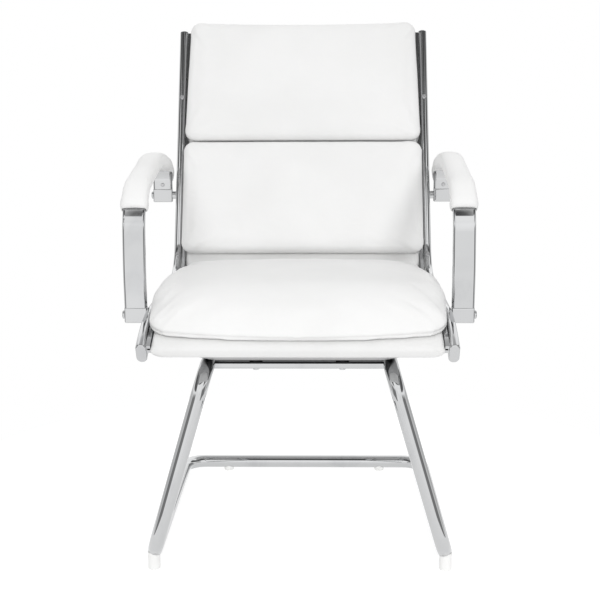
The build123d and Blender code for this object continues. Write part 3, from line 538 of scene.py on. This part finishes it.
@dataclass(frozen=True)
class SideLine:
    """Middle line of the side rails: nose, level seat, bend and reclined back."""

    seat_height: float = 0.430
    recline: float = math.radians(21.33)
    corner_y: float = 0.143
    front_y: float = -0.3348
    nose_radius: float = 0.284
    nose_angle: float = math.radians(26.5)
    bend_radius: float = 0.090

    @property
    def nose_end(self) -> float:
        """Length along the line at which the nose meets the level seat."""
        return self.nose_radius * self.nose_angle

    @property
    def nose_y(self) -> float:
        """Y at which the nose meets the level seat."""
        return self.front_y + self.nose_radius * math.sin(self.nose_angle)

    @property
    def turn(self) -> float:
        """Angle of the bend from seat to back."""
        return math.pi / 2 - self.recline

    @property
    def bend_y(self) -> float:
        """Y at which the bend starts."""
        return self.corner_y - self.bend_radius * math.tan(self.turn / 2)

    @property
    def bend_start(self) -> float:
        """Length along the line at which the bend starts."""
        return self.nose_end + self.bend_y - self.nose_y

    @property
    def back_start(self) -> float:
        """Length along the line at which the straight back starts."""
        return self.bend_start + self.bend_radius * self.turn

    @property
    def joint(self) -> float:
        """Length along the line at the middle of the bend, where the sling's panels meet."""
        return self.bend_start + self.bend_radius * self.turn / 2

    def at_height(self, height: float) -> float:
        """Length along the straight back, drawn on downwards, at a height."""
        low = self.seat_height + self.bend_radius * (1 - math.cos(self.turn))
        return self.back_start + (height - low) / math.sin(self.turn)

    def lay(self, x: float, along: float, above: float, straight: bool) -> Vector:
        """Point beside the line.

        Args:
            x: Distance across the chair.
            along: Length along the line from its front end.
            above: Height above the line, towards the sitter.
            straight: Whether the back is drawn on downwards past its bend.

        Returns:
            The point in the chair's frame.
        """
        if straight or along >= self.back_start:
            angle = self.turn
            past = along - self.back_start
            y = self.bend_y + self.bend_radius * math.sin(angle) + past * math.cos(angle)
            z = self.seat_height + self.bend_radius * (1 - math.cos(angle)) + past * math.sin(angle)
        elif along >= self.bend_start:
            angle = (along - self.bend_start) / self.bend_radius
            y = self.bend_y + self.bend_radius * math.sin(angle)
            z = self.seat_height + self.bend_radius * (1 - math.cos(angle))
        elif along >= self.nose_end:
            angle = 0.0
            y = self.nose_y + along - self.nose_end
            z = self.seat_height
        else:
            angle = self.nose_angle - along / self.nose_radius
            y = self.nose_y - self.nose_radius * math.sin(angle)
            z = self.seat_height - self.nose_radius * (1 - math.cos(angle))
        return Vector((x, y - math.sin(angle) * above, z + math.cos(angle) * above))


@dataclass(frozen=True)
class Rails:
    """Where the side rails leave room for upholstery, beside the side line."""

    lip_x: float = 0.231
    crest_x: float = 0.245
    corner: float = 0.008
    half_depth: float = 0.018
    sling_top: float = 0.014
    gap: float = 0.0007

    def floor(self, x: float) -> float:
        """Lowest level that a cushion may have.

        Args:
            x: Place across the chair.

        Returns:
            Level above the side line.
        """
        reach = abs(x)
        if reach <= self.lip_x:
            return self.sling_top + self.gap / 2
        inset = min(max(self.crest_x - reach, 0.0), self.corner)
        crest = self.half_depth - self.corner + math.sqrt(self.corner**2 - inset**2)
        return max(crest, self.sling_top) + self.gap


RAIL_LINE = SideLine()
RAILS = Rails()


def smooth(value: float, low: float, high: float) -> float:
    """Smooth step of a number from 0 at low to 1 at high."""
    share = min(max((value - low) / (high - low), 0.0), 1.0)
    return share * share * (3 - 2 * share)


def rounded(u: float, v: float, half: float, reach: float, corner: float) -> Vector:
    """Outline of a rounded rectangle.

    Args:
        u: Place across, of any size.
        v: Place along, of any size.
        half: Half width.
        reach: Half length.
        corner: Radius of the corners.

    Returns:
        The point of the outline that lies towards the place.
    """
    ring = max(abs(u), abs(v), 1e-6)
    x, y = u / ring * half, v / ring * reach
    hub = Vector((math.copysign(half - corner, x), math.copysign(reach - corner, y)))
    if abs(x) > abs(hub.x) and abs(y) > abs(hub.y):
        return hub + (Vector((x, y)) - hub).normalized() * corner
    return Vector((x, y))


@dataclass(frozen=True)
class Foam:
    """Filling that swells a cover."""

    quality: int = 6
    mass: float = 0.25
    stretch: float = 12.0
    bend: float = 0.8
    pressure: float = 4.0
    frames: int = 20

    def puff(self, piece: bpy.types.Object, held: Callable[[Vector], bool], swell: float) -> None:
        """Swells a piece with a cloth simulation.

        Args:
            piece: The piece, with an even mesh of small faces.
            held: Tells which points are held.
            swell: Farthest that a point may move.
        """
        before = [point.co.copy() for point in piece.data.vertices]
        group = piece.vertex_groups.new(name="held")
        group.add([i for i, co in enumerate(before) if held(co)], 1.0, "REPLACE")
        cloth = piece.modifiers.new("puff", "CLOTH")
        cover = cloth.settings
        cover.quality = self.quality
        cover.mass = self.mass
        cover.tension_stiffness = cover.compression_stiffness = self.stretch
        cover.bending_stiffness = self.bend
        cover.use_pressure = True
        cover.uniform_pressure_force = self.pressure
        cover.vertex_group_mass = group.name
        cover.effector_weights.gravity = 0.0
        cloth.collision_settings.use_collision = False
        scene = bpy.context.scene
        for frame in range(1, self.frames + 1):
            scene.frame_set(frame)
        seen = piece.evaluated_get(bpy.context.evaluated_depsgraph_get()).data
        after = [point.co.copy() for point in seen.vertices]
        piece.modifiers.remove(cloth)
        piece.vertex_groups.clear()
        for point, start, end in zip(piece.data.vertices, before, after):
            shift = end - start
            if shift.length > swell:
                shift *= swell / shift.length
            point.co = start + shift
        scene.frame_set(1)


@dataclass
class Pad:
    """A sewn cushion or panel, shaped flat and then laid along the side line.

    Flat points are x across, y along the side line, and z above it.
    """

    name: str
    node: str
    start: float
    end: float
    look: Look
    half: float
    base: float
    seam: float
    top: float
    crown: float
    corner: float
    roll: float
    tuck: float
    fill: float
    straight: bool = False
    bow: float = 0.0
    rear_narrow: float = 0.0
    front_wide: float = 0.0
    front_narrow: float = 0.0
    wrap: float = 0.0
    draw: float = 0.0016
    rear_drop: float = 0.0
    front_drop: float = 0.0
    sag: float = 0.0
    lip: float = 0.0
    swell: float = 0.0
    ease: float = 0.0037
    wrinkle: float = 0.0006
    cuts: int = 44

    BAND = 0.0022
    FLAT = 0.62
    VOXEL = 0.005
    HELD = 0.003

    @property
    def middle(self) -> float:
        """Length along the side line at the middle of the pad."""
        return (self.start + self.end) / 2

    @property
    def reach(self) -> float:
        """Half the length of the pad."""
        return (self.end - self.start) / 2

    @property
    def puffed(self) -> bool:
        """Whether the cloth simulation swells this pad."""
        return self.swell > 0 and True

    def edge(self, u: float, v: float, inset: float = 0.0) -> Vector:
        """Outline of the pad in plan.

        Args:
            u: Place across.
            v: Place along.
            inset: Distance in from the outer edge.

        Returns:
            The point of the outline, from the pad's middle.
        """
        ease = self.ease if self.puffed else 0.0
        corner = max(self.corner - inset / 2, self.corner / 2)
        return rounded(u, v, self.half + ease - inset, self.reach + ease - inset, corner)

    def shape(self, point: Vector) -> Vector:
        """Place of one point of the block on the flat pad.

        Args:
            point: The point, from -1 to 1 each way.

        Returns:
            The flat point.
        """
        u, v, w = point
        ring = max(abs(u), abs(v), 1e-6)
        side = math.copysign(1.0, w)
        outer = self.edge(u, v)
        if abs(w) < 0.999:
            plan, level = outer, self.seam + w * self.BAND
        else:
            inner = self.edge(u, v, self.roll if side > 0 else self.tuck)
            far = self.top if side > 0 else self.base
            near = self.seam + side * self.BAND
            if ring > self.FLAT:
                angle = (ring - self.FLAT) / (1 - self.FLAT) * math.pi / 2
                plan = inner.lerp(outer, math.sin(angle))
                level = near + (far - near) * math.cos(angle)
            else:
                plan = inner * (ring / self.FLAT)
                level = far
        return self.crowned(plan, level)

    def crowned(self, plan: Vector, level: float) -> Vector:
        """Adds the pad's crown, its bowed front, its narrow rear and its drops.

        Args:
            plan: The point in plan, from the pad's middle.
            level: Its height above the side line.

        Returns:
            The flat point.
        """
        across, along = plan.x / self.half, plan.y / self.reach
        lift = max(0.0, (level - self.seam) / (self.top - self.seam))
        dome = max(0.0, 1 - across**2) * max(0.0, 1 - along**2) ** 0.5
        level += lift * self.crown * dome
        drop = self.rear_drop * smooth(along, 0.2, 1.0) + self.front_drop * smooth(-along, 0.4, 1.0)
        level -= lift * drop
        front = max(0.0, -along)
        y = self.middle + plan.y - self.bow * front**3 * (1 - across**2)
        y -= self.sag * smooth(along, 0.2, 1.0) * (1 - across**2)
        narrow = self.rear_narrow * smooth(along, 0.0, 1.0)
        x = plan.x * (1 - narrow + self.front_wide * (0.5 - 0.5 * along))
        narrow = self.front_narrow * smooth(-along, 0.3, 1.0)
        x *= 1 - narrow + self.wrap * smooth(-y, 0.0016, 0.0040)
        if level < self.seam:
            share = (self.seam - level) / (self.seam - self.base)
            level -= self.lip * smooth(self.start + 0.045 - y, 0.0, 0.03) * share
        return Vector((x, y, level))

    def clear(self, point: Vector) -> Vector:
        """Lifts a point off the sling and the rails."""
        return Vector((point.x, point.y, max(point.z, RAILS.floor(point.x))))

    def sewn(self, point: Vector) -> Vector:
        """Draws the cover in along its seam and gives it faint, uneven pulls.

        Args:
            point: A point of the flat pad.

        Returns:
            The drawn point.
        """
        x, y, z = point
        groove = math.exp(-(((z - self.seam) / 0.0022) ** 2))
        across = x / self.half
        along = (y - self.middle) / self.reach
        rim = max(smooth(abs(across), 0.86, 1.0), smooth(abs(along), 0.82, 1.0))
        pull = noise.noise(Vector((x * 17, y * 17, z * 30 + len(self.name))))
        fine = noise.noise(Vector((x * 60, y * 60, z * 22 - len(self.name))))
        draw = groove * self.draw * rim
        wave = self.wrinkle * (1.4 * pull + (0.3 + 0.9 * rim) * fine)
        z += wave * smooth(z, self.seam, self.top)
        return Vector((x * (1 - draw / self.half), y - along * draw, z))

    def build(self, palette: Palette) -> bpy.types.Object:
        """Makes the pad, dresses it and sets it in the frame.

        Args:
            palette: The finishes.

        Returns:
            The finished piece.
        """
        piece = Bench.block(self.name, self.cuts)
        Bench.move(piece, self.shape)
        Bench.close(piece)
        if self.puffed:
            Bench.apply(piece, "REMESH", mode="VOXEL", voxel_size=self.VOXEL)
            Foam().puff(piece, lambda p: p.z < self.base + self.HELD, self.swell)
        Bench.soften(piece)
        Bench.move(piece, self.sewn)
        if self.swell:
            Bench.move(piece, self.clear)
        Bench.move(piece, lambda p: RAIL_LINE.lay(p.x, p.y, p.z, self.straight))
        Bench.close(piece)
        palette.dress(piece, self.look)
        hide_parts(self.node)
        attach(piece, BODY)
        log.info("pad %s: %d faces", self.name, len(piece.data.polygons))
        return piece


@dataclass
class Sling(Pad):
    """What both panels of the sling share."""

    look: Look = Look.SLING
    half: float = 0.2304
    base: float = -0.005
    seam: float = 0.0045
    top: float = 0.014
    crown: float = 0.0
    corner: float = 0.013
    roll: float = 0.0085
    tuck: float = 0.006
    fill: float = 0.4
    draw: float = 0.0
    wrinkle: float = 0.0003


@dataclass
class SeatPanel(Sling):
    """Seat panel of the sling, whose front covers the ends of the rails' lips."""

    name: str = "seat_sling_panel"
    node: str = "seat_sling"
    start: float = -0.0075
    end: float = RAIL_LINE.joint - 0.0004
    wrap: float = 0.025
    lip: float = 0.0030


@dataclass
class BackPanel(Sling):
    """Back panel of the sling."""

    name: str = "back_sling_panel"
    node: str = "back_sling"
    start: float = RAIL_LINE.joint + 0.0004
    end: float = RAIL_LINE.at_height(0.904)


@dataclass
class SeatCushion(Pad):
    """Seat cushion with a bowed front and a narrow rear."""

    name: str = "seat_pad"
    node: str = "seat_cushion"
    start: float = 0.0205
    end: float = 0.459
    look: Look = Look.PAD
    half: float = 0.2472
    base: float = 0.0146
    seam: float = 0.0235
    top: float = 0.048
    crown: float = 0.011
    corner: float = 0.034
    roll: float = 0.037
    tuck: float = 0.016
    fill: float = 0.85
    bow: float = 0.016
    rear_narrow: float = 0.080
    front_narrow: float = 0.036
    rear_drop: float = 0.012
    front_drop: float = 0.006
    swell: float = 0.004
    wrinkle: float = 0.0008


@dataclass
class BackCushion(Pad):
    """What both back cushions share."""

    look: Look = Look.PAD
    half: float = 0.2375
    base: float = 0.0146
    seam: float = 0.029
    top: float = 0.045
    crown: float = 0.006
    corner: float = 0.024
    roll: float = 0.013
    tuck: float = 0.016
    fill: float = 0.75
    straight: bool = True
    swell: float = 0.0035


@dataclass
class LowerBackCushion(BackCushion):
    """Cushion behind the sitter's waist."""

    name: str = "lower_back_pad"
    node: str = "lower_back_cushion"
    start: float = RAIL_LINE.at_height(0.4685)
    end: float = RAIL_LINE.at_height(0.6800)


@dataclass
class UpperBackCushion(BackCushion):
    """Cushion behind the sitter's shoulders, wider at its foot."""

    name: str = "upper_back_pad"
    node: str = "upper_back_cushion"
    start: float = RAIL_LINE.at_height(0.6824)
    end: float = RAIL_LINE.at_height(0.9170)
    half: float = 0.2285
    sag: float = 0.005
    front_wide: float = 0.034


@dataclass(frozen=True)
class ArmLine:
    """Middle line of one arm's looped bar, in an upright plane that splays to the rear."""

    rail_x: float = 0.254
    front_y: float = -0.196
    front_gap: float = 0.002
    rear_gap: float = 0.008
    width: float = 0.038
    seat_height: float = 0.430
    elbow: float = 0.632
    bow: float = 0.008
    bow_share: float = 0.37
    crest_rise: float = 0.039
    crest_share: float = 0.645
    heel_drop: float = 0.027
    heel_setback: float = 0.005
    rear_drop: float = 0.058
    bends: tuple[float, ...] = (0.34, 0.47, 0.49, 0.50)

    STEP = 0.003

    @property
    def rear_height(self) -> float:
        """Height of the rear bolt."""
        return self.elbow + self.crest_rise - self.heel_drop - self.rear_drop

    @property
    def run(self) -> Vector:
        """From the front bolt to the rear bolt, in plan.

        Returns:
            Shift outwards and shift to the rear.
        """
        rise = self.rear_height - self.seat_height
        rear_y = RAIL_LINE.corner_y + rise * math.tan(RAIL_LINE.recline)
        return Vector((self.rear_gap - self.front_gap, rear_y - self.front_y))

    def corners(self) -> list[Vector]:
        """Corner points of the loop.

        Returns:
            Points in the arm's plane: distance behind the front bolt, and height.
        """
        span = self.run.length
        crest = self.elbow + self.crest_rise
        return [
            Vector((0.0, self.seat_height)),
            Vector((-self.bow, self.seat_height + self.bow_share * (self.elbow - self.seat_height))),
            Vector((0.0, self.elbow)),
            Vector((self.crest_share * span, crest)),
            Vector((span - self.heel_setback, crest - self.heel_drop)),
            Vector((span, self.rear_height)),
        ]

    def path(self) -> Line:
        """Points of the loop with its bends, and the direction out of the loop at each.

        Returns:
            Pairs of a point and a direction in the arm's plane.
        """
        points = self.corners()
        line: Line = []
        last = points[0]
        for before, corner, after, share in zip(points, points[1:], points[2:], self.bends):
            arrive, leave = corner - before, after - corner
            cut = share * min(arrive.length, leave.length)
            arrive.normalize()
            leave.normalize()
            first = corner - arrive * cut
            self.straight(line, last, first)
            turn = math.atan2(arrive.x * leave.y - arrive.y * leave.x, arrive.dot(leave))
            radius = cut / math.tan(abs(turn) / 2)
            hub = first + Vector((-arrive.y, arrive.x)) * math.copysign(radius, turn)
            count = max(2, int(radius * abs(turn) / self.STEP))
            for i in range(count):
                c, s = math.cos(turn * i / count), math.sin(turn * i / count)
                spoke = first - hub
                spoke = Vector((spoke.x * c - spoke.y * s, spoke.x * s + spoke.y * c))
                line.append((hub + spoke, spoke.normalized() * -math.copysign(1, turn)))
            last = corner + leave * cut
        self.straight(line, last, points[-1])
        return line

    def straight(self, line: Line, start: Vector, end: Vector) -> None:
        """Adds points of a straight run to a line.

        Args:
            line: The line so far.
            start: First point of the run.
            end: Last point of the run, which is left out.
        """
        along = end - start
        out = Vector((-along.y, along.x)).normalized()
        count = max(1, int(along.length / self.STEP))
        for i in range(count):
            line.append((start + along * (i / count), out))

    def lay(self, flat: Vector, out: Vector, across: float, above: float, side: Side) -> Vector:
        """Point beside the loop.

        Args:
            flat: Point of the loop in the arm's plane.
            out: Direction out of the loop there.
            across: Distance outwards from the middle of the bar.
            above: Distance out of the loop.
            side: Which arm.

        Returns:
            The point in the chair's frame.
        """
        along = self.run.normalized()
        place = flat + out * above
        outward = self.width / 2 + across
        x = self.rail_x + self.front_gap + along.x * place.x + along.y * outward
        y = self.front_y + along.y * place.x - along.x * outward
        return Vector((side.value * x, y, place.y))


@dataclass
class ArmSleeve:
    """Padded sleeve round an arm's bar, with turned-in hems."""

    side: Side
    front_low: float = 0.604
    rear_low: float = 0.602
    half_width: float = 0.0222
    over: float = 0.0152
    under: float = 0.0100
    bar_half: float = 0.0195
    bar_depth: float = 0.0065
    bar_corner: float = 0.0050
    crown: float = 0.0022
    seam_depth: float = 0.0011
    hem: float = 0.007
    turned: float = 0.012
    square: float = 3.6
    flare: float = 0.0014
    slant: float = 0.044
    swell: float = 0.0015
    front_hold: float = 0.046
    rear_hold: float = 0.085
    sides: int = 64
    cuts: int = 168
    arm: ArmLine = ArmLine()

    @property
    def name(self) -> str:
        """Name of the piece."""
        return f"arm_pad_{self.side.name.lower()}"

    @property
    def node(self) -> str:
        """Name of the solid that the sleeve stands for."""
        return f"arm_sleeve_{self.side.name.lower()}"

    def stretch(self) -> Line:
        """Part of the loop that the sleeve covers.

        Returns:
            Pairs of a point and a direction out of the loop.
        """
        half = self.arm.run.length / 2
        lows = {True: self.front_low, False: self.rear_low}
        return [pair for pair in self.arm.path() if pair[0].y >= lows[pair[0].x < half]]

    def section(self, angle: float, close: float, swell: float) -> tuple[float, float]:
        """Point of the sleeve's section.

        Args:
            angle: Place round the section.
            close: 0 for the full sleeve, 1 for the bar's own outline.
            swell: Extra fullness.

        Returns:
            Distance across the bar and distance out of the loop.
        """
        c, s = math.cos(angle), math.sin(angle)
        bar = rounded(c, s, self.bar_half, self.bar_depth, self.bar_corner)
        power = 2.0 / self.square
        c = math.copysign(abs(c) ** power, c)
        s = math.copysign(abs(s) ** power, s)
        tall = self.over + swell + self.crown * (1 - c * c) if s > 0 else self.under + swell / 2
        across, above = c * (self.half_width + swell), s * tall
        if s < 0:
            above += self.seam_depth * math.exp(-((across / 0.0016) ** 2))
        full = Vector((across, above))
        spot = full.lerp(bar, close)
        return spot.x, spot.y

    def fill(self, piece: bpy.types.Object, line: Line) -> None:
        """Swells the sleeve between its hems.

        Args:
            piece: The sleeve.
            line: The part of the loop that it covers.
        """
        front, rear = (self.arm.lay(*pair, 0.0, 0.0, self.side) for pair in (line[0], line[-1]))

        def held(point: Vector) -> bool:
            """Whether a point lies near a hem."""
            return (point - front).length < self.front_hold or (point - rear).length < self.rear_hold

        Foam().puff(piece, held, self.swell)

    def shape(self, point: Vector, line: Line) -> Vector:
        """Place of one point of the tube on the sleeve.

        Args:
            point: The point, on a tube of radius 1 from -1 to 1.
            line: The part of the loop that the sleeve covers.

        Returns:
            The point in the chair's frame.
        """
        length = self.arm.STEP * (len(line) - 1)
        inside = self.turned / length
        last = 1 - self.slant / length * (1 - point.y) / 2
        place = (point.z + 1) / 2 * (last + 2 * inside) - inside
        from_end = min(place, last - place) * length
        back = max(-from_end, 0.0)
        spot = place if back == 0 else (back / length if place < 0 else last - back / length)
        index = spot * (len(line) - 1)
        first = min(int(index), len(line) - 2)
        part = index - first
        flat = line[first][0].lerp(line[first + 1][0], part)
        out = line[first][1].lerp(line[first + 1][1], part).normalized()
        if back > 0:
            close = 1.0
        else:
            turn = min(from_end / self.hem, 1.0)
            close = 1 - math.sqrt(max(0.0, 1 - (1 - turn) ** 2))
        swell = self.flare * math.exp(-(((from_end - 0.012) / 0.009) ** 2))
        across, above = self.section(math.atan2(point.y, point.x), close, swell)
        near = self.arm.lay(flat, out, across, above, self.side)
        ripple = noise.noise(near * 34) * 0.0005 + noise.noise(near * 90) * 0.0003
        ripple *= 1 - close
        across *= 1 + ripple * 20
        above *= 1 + ripple * 30
        return self.arm.lay(flat, out, across, above, self.side)

    def build(self, palette: Palette) -> bpy.types.Object:
        """Makes the sleeve, dresses it and sets it in the frame.

        Args:
            palette: The finishes.

        Returns:
            The finished piece.
        """
        piece = Bench.hose(self.name, self.sides, self.cuts)
        line = self.stretch()
        Bench.move(piece, lambda point: self.shape(point, line))
        Bench.close(piece)
        self.fill(piece, line)
        Bench.soften(piece)
        Bench.close(piece)
        palette.dress(piece, Look.PAD)
        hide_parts(self.node)
        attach(piece, BODY)
        log.info("sleeve %s: %d faces", self.name, len(piece.data.polygons))
        return piece


@dataclass
class Upholstery:
    """Sling, cushions and arm sleeves, in the order in which they are made."""

    pads: tuple[Pad, ...] = (SeatPanel(), BackPanel(), SeatCushion(), LowerBackCushion(), UpperBackCushion())
    sleeves: tuple[ArmSleeve, ...] = (ArmSleeve(Side.LEFT), ArmSleeve(Side.RIGHT))

    def build(self, palette: Palette) -> None:
        """Makes every soft piece with the finishes."""
        for piece in (*self.pads, *self.sleeves):
            piece.build(palette)


@dataclass(frozen=True)
class Lamp:
    """One soft box."""

    name: str
    place: Colour
    aim: Colour
    size: tuple[float, float]
    power: float

    def hang(self) -> None:
        """Adds the light; polished metal mirrors the room and not the box."""
        data = bpy.data.lights.new(self.name, "AREA")
        data.shape = "RECTANGLE"
        data.size, data.size_y = self.size
        data.energy = self.power
        lit = bpy.data.objects.new(self.name, data)
        bpy.context.scene.collection.objects.link(lit)
        lit.location = self.place
        lit.visible_glossy = False
        aim = Vector(self.aim) - Vector(self.place)
        lit.rotation_euler = aim.to_track_quat("-Z", "Y").to_euler()


@dataclass(frozen=True)
class Room:
    """White room round the chair: plain to the eye, even as light, banded in polished metal.

    Spans are where a band fades in or out, by the height or the sideways part of a direction.
    """

    facing: Span = (0.05, 0.4)
    opening_foot: Span = (0.570, 0.605)
    opening_head: Span = (0.70, 0.85)
    opening_dark: float = 0.92
    opening_haze: float = 0.45
    post_shift: float = 0.019
    post_inner: Span = (0.0130, 0.0180)
    post_outer: Span = (0.028, 0.036)
    post_light: float = 0.72
    flank_edge: Span = (0.25, 0.42)
    flank_depth: Span = (-0.3, 0.0)
    flank_head: Span = (0.02, 0.2)
    flank_dark: float = 0.76
    rear_edge: Span = (-0.15, 0.1)
    rear_head: Span = (0.0, 0.25)
    rear_dark: float = 0.5
    side_edge: Span = (0.34, 0.50)
    side_foot: Span = (0.22, 0.30)
    side_head: Span = (0.6, 0.7)
    side_dark: float = 0.88
    wall: float = 1.0
    wall_cloud: float = 0.5
    wall_rise: Span = (0.05, 0.35)
    wall_gain: float = 0.1
    ceiling_edge: Span = (0.75, 0.9)
    ceiling_dark: float = 0.75
    glow: float = 0.58
    glow_gain: float = 0.16
    glow_rise: Span = (-0.2, 0.9)

    def mirror(self, graph: Graph, sight: Sock) -> Sock:
        """What polished metal mirrors: pale walls with dark openings.

        Args:
            graph: The world's node tree.
            sight: The direction that is looked in.

        Returns:
            Brightness by direction.
        """
        way = graph.add("ShaderNodeSeparateXYZ", {}, {0: sight})
        x, y, z = (Sock(graph, out) for out in way.outputs)
        wide = x * x
        aside = (x + self.post_shift) * (x + self.post_shift)
        post = aside.step(*self.post_inner) * (1 - aside.step(*self.post_outer))
        opening = (0.0 - y).step(*self.facing) * z.step(*self.opening_foot) * (1 - self.post_light * post)
        opening = opening * (1 - self.opening_haze * z.step(*self.opening_head))
        flank = wide.step(*self.flank_edge) * (1 - y.step(*self.flank_depth)) * (1 - z.step(*self.flank_head))
        rear = y.step(*self.rear_edge) * (1 - z.step(*self.rear_head))
        side = wide.step(*self.side_edge) * z.step(*self.side_foot) * (1 - z.step(*self.side_head))
        wall = self.wall + self.wall_cloud * graph.noise(sight, 3.2, 1.0)
        wall = wall + self.wall_gain * z.step(*self.wall_rise) - self.rear_dark * rear
        wall = wall - self.ceiling_dark * z.step(*self.ceiling_edge)
        dark = (1 - self.opening_dark * opening) * (1 - self.flank_dark * flank) * (1 - self.side_dark * side)
        return wall * dark

    def even(self, graph: Graph, sight: Sock) -> Sock:
        """Even light, a little stronger from above.

        Args:
            graph: The world's node tree.
            sight: The direction that the light comes from.

        Returns:
            Brightness by direction.
        """
        way = graph.add("ShaderNodeSeparateXYZ", {}, {0: sight})
        height = Sock(graph, way.outputs["Z"])
        return self.glow + self.glow_gain * height.step(*self.glow_rise)

    def build(self) -> None:
        """Makes the world."""
        world = bpy.data.worlds.new("studio_room")
        bpy.context.scene.world = world
        world.use_nodes = True
        graph = Graph(world.node_tree)
        path = graph.add("ShaderNodeLightPath", {}, {})
        shiny = Sock(graph, path.outputs["Is Glossy Ray"])
        seen = Sock(graph, path.outputs["Is Camera Ray"])
        sight = graph.get("ShaderNodeTexCoord", {}, {}, "Generated")
        glow = self.mirror(graph, sight) * shiny + self.even(graph, sight) * (1 - shiny)
        room = graph.get("ShaderNodeBackground", {}, {"Color": WHITE, "Strength": glow})
        plain = graph.get("ShaderNodeBackground", {}, {"Color": WHITE, "Strength": 1.0})
        mixed = graph.get("ShaderNodeMixShader", {}, {0: seen, 1: room, 2: plain})
        graph.add("ShaderNodeOutputWorld", {}, {"Surface": mixed})


@dataclass
class Studio:
    """Pale floor, soft light and the camera at the photograph's angle."""

    eye: Colour = (0.03935, -2.0739, 0.85305)
    yaw: float = -0.0206
    pitch: float = 0.1564
    roll: float = 0.0043
    focal: float = 1140.0
    axis_x: float = 299.16
    axis_y: float = 240.0
    frame_size: float = 600.0
    sensor: float = 36.0
    floor_radius: float = 0.8
    floor_rim: float = 0.12
    paper: Paper = Paper("studio_paper", (0.45, 0.45, 0.45), (0.43, 0.43, 0.43))
    lamps: tuple[Lamp, ...] = (
        Lamp("key_right", (0.95, -2.75, 1.65), (0.0, 0.0, 0.5), (0.45, 0.45), 22.0),
        Lamp("key_left", (-0.75, -2.75, 1.55), (0.0, 0.0, 0.5), (0.45, 0.45), 13.0),
        Lamp("top", (0.0, -0.7, 2.8), (0.0, 0.0, 0.4), (2.0, 1.6), 3.0),
    )

    def floor(self) -> None:
        """Lays the pale floor."""
        bpy.ops.object.select_all(action="DESELECT")
        bpy.ops.mesh.primitive_circle_add(vertices=128, radius=self.floor_radius, fill_type="NGON")
        floor = bpy.context.object
        floor.name = "studio_floor"
        bpy.ops.object.mode_set(mode="EDIT")
        bpy.ops.mesh.select_all(action="SELECT")
        bpy.ops.mesh.inset(thickness=self.floor_rim)
        bpy.ops.object.mode_set(mode="OBJECT")
        floor.data.materials.append(self.paper.make())

    def light(self) -> None:
        """Hangs the soft boxes in the room."""
        for lamp in self.lamps:
            lamp.hang()
        Room().build()

    def camera(self) -> None:
        """Sets the camera from the fitted view of a square picture."""
        data = bpy.data.cameras.new("photo_camera")
        eye = bpy.data.objects.new("photo_camera", data)
        bpy.context.scene.collection.objects.link(eye)
        level = math.cos(self.pitch)
        ahead = Vector((math.sin(self.yaw) * level, math.cos(self.yaw) * level, -math.sin(self.pitch)))
        eye.rotation_mode = "QUATERNION"
        eye.rotation_quaternion = Quaternion(ahead, self.roll) @ ahead.to_track_quat("-Z", "Y")
        eye.location = self.eye
        data.sensor_width = self.sensor
        data.lens = self.sensor * self.focal / self.frame_size
        data.shift_x = (self.frame_size / 2 - self.axis_x) / self.frame_size
        data.shift_y = (self.axis_y - self.frame_size / 2) / self.frame_size
        bpy.context.scene.camera = eye

    def build(self) -> None:
        """Makes the whole studio."""
        self.floor()
        self.light()
        self.camera()
        bpy.context.scene.view_settings.view_transform = "Standard"


def main() -> None:
    """Builds the chair's looks on the frame and reports each piece."""
    logging.basicConfig(level=logging.INFO, format="%(name)s: %(message)s")
    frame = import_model()
    palette = Palette()
    palette.dress_nodes(frame)
    Upholstery().build(palette)
    Studio().build()


if __name__ == "__main__":
    main()
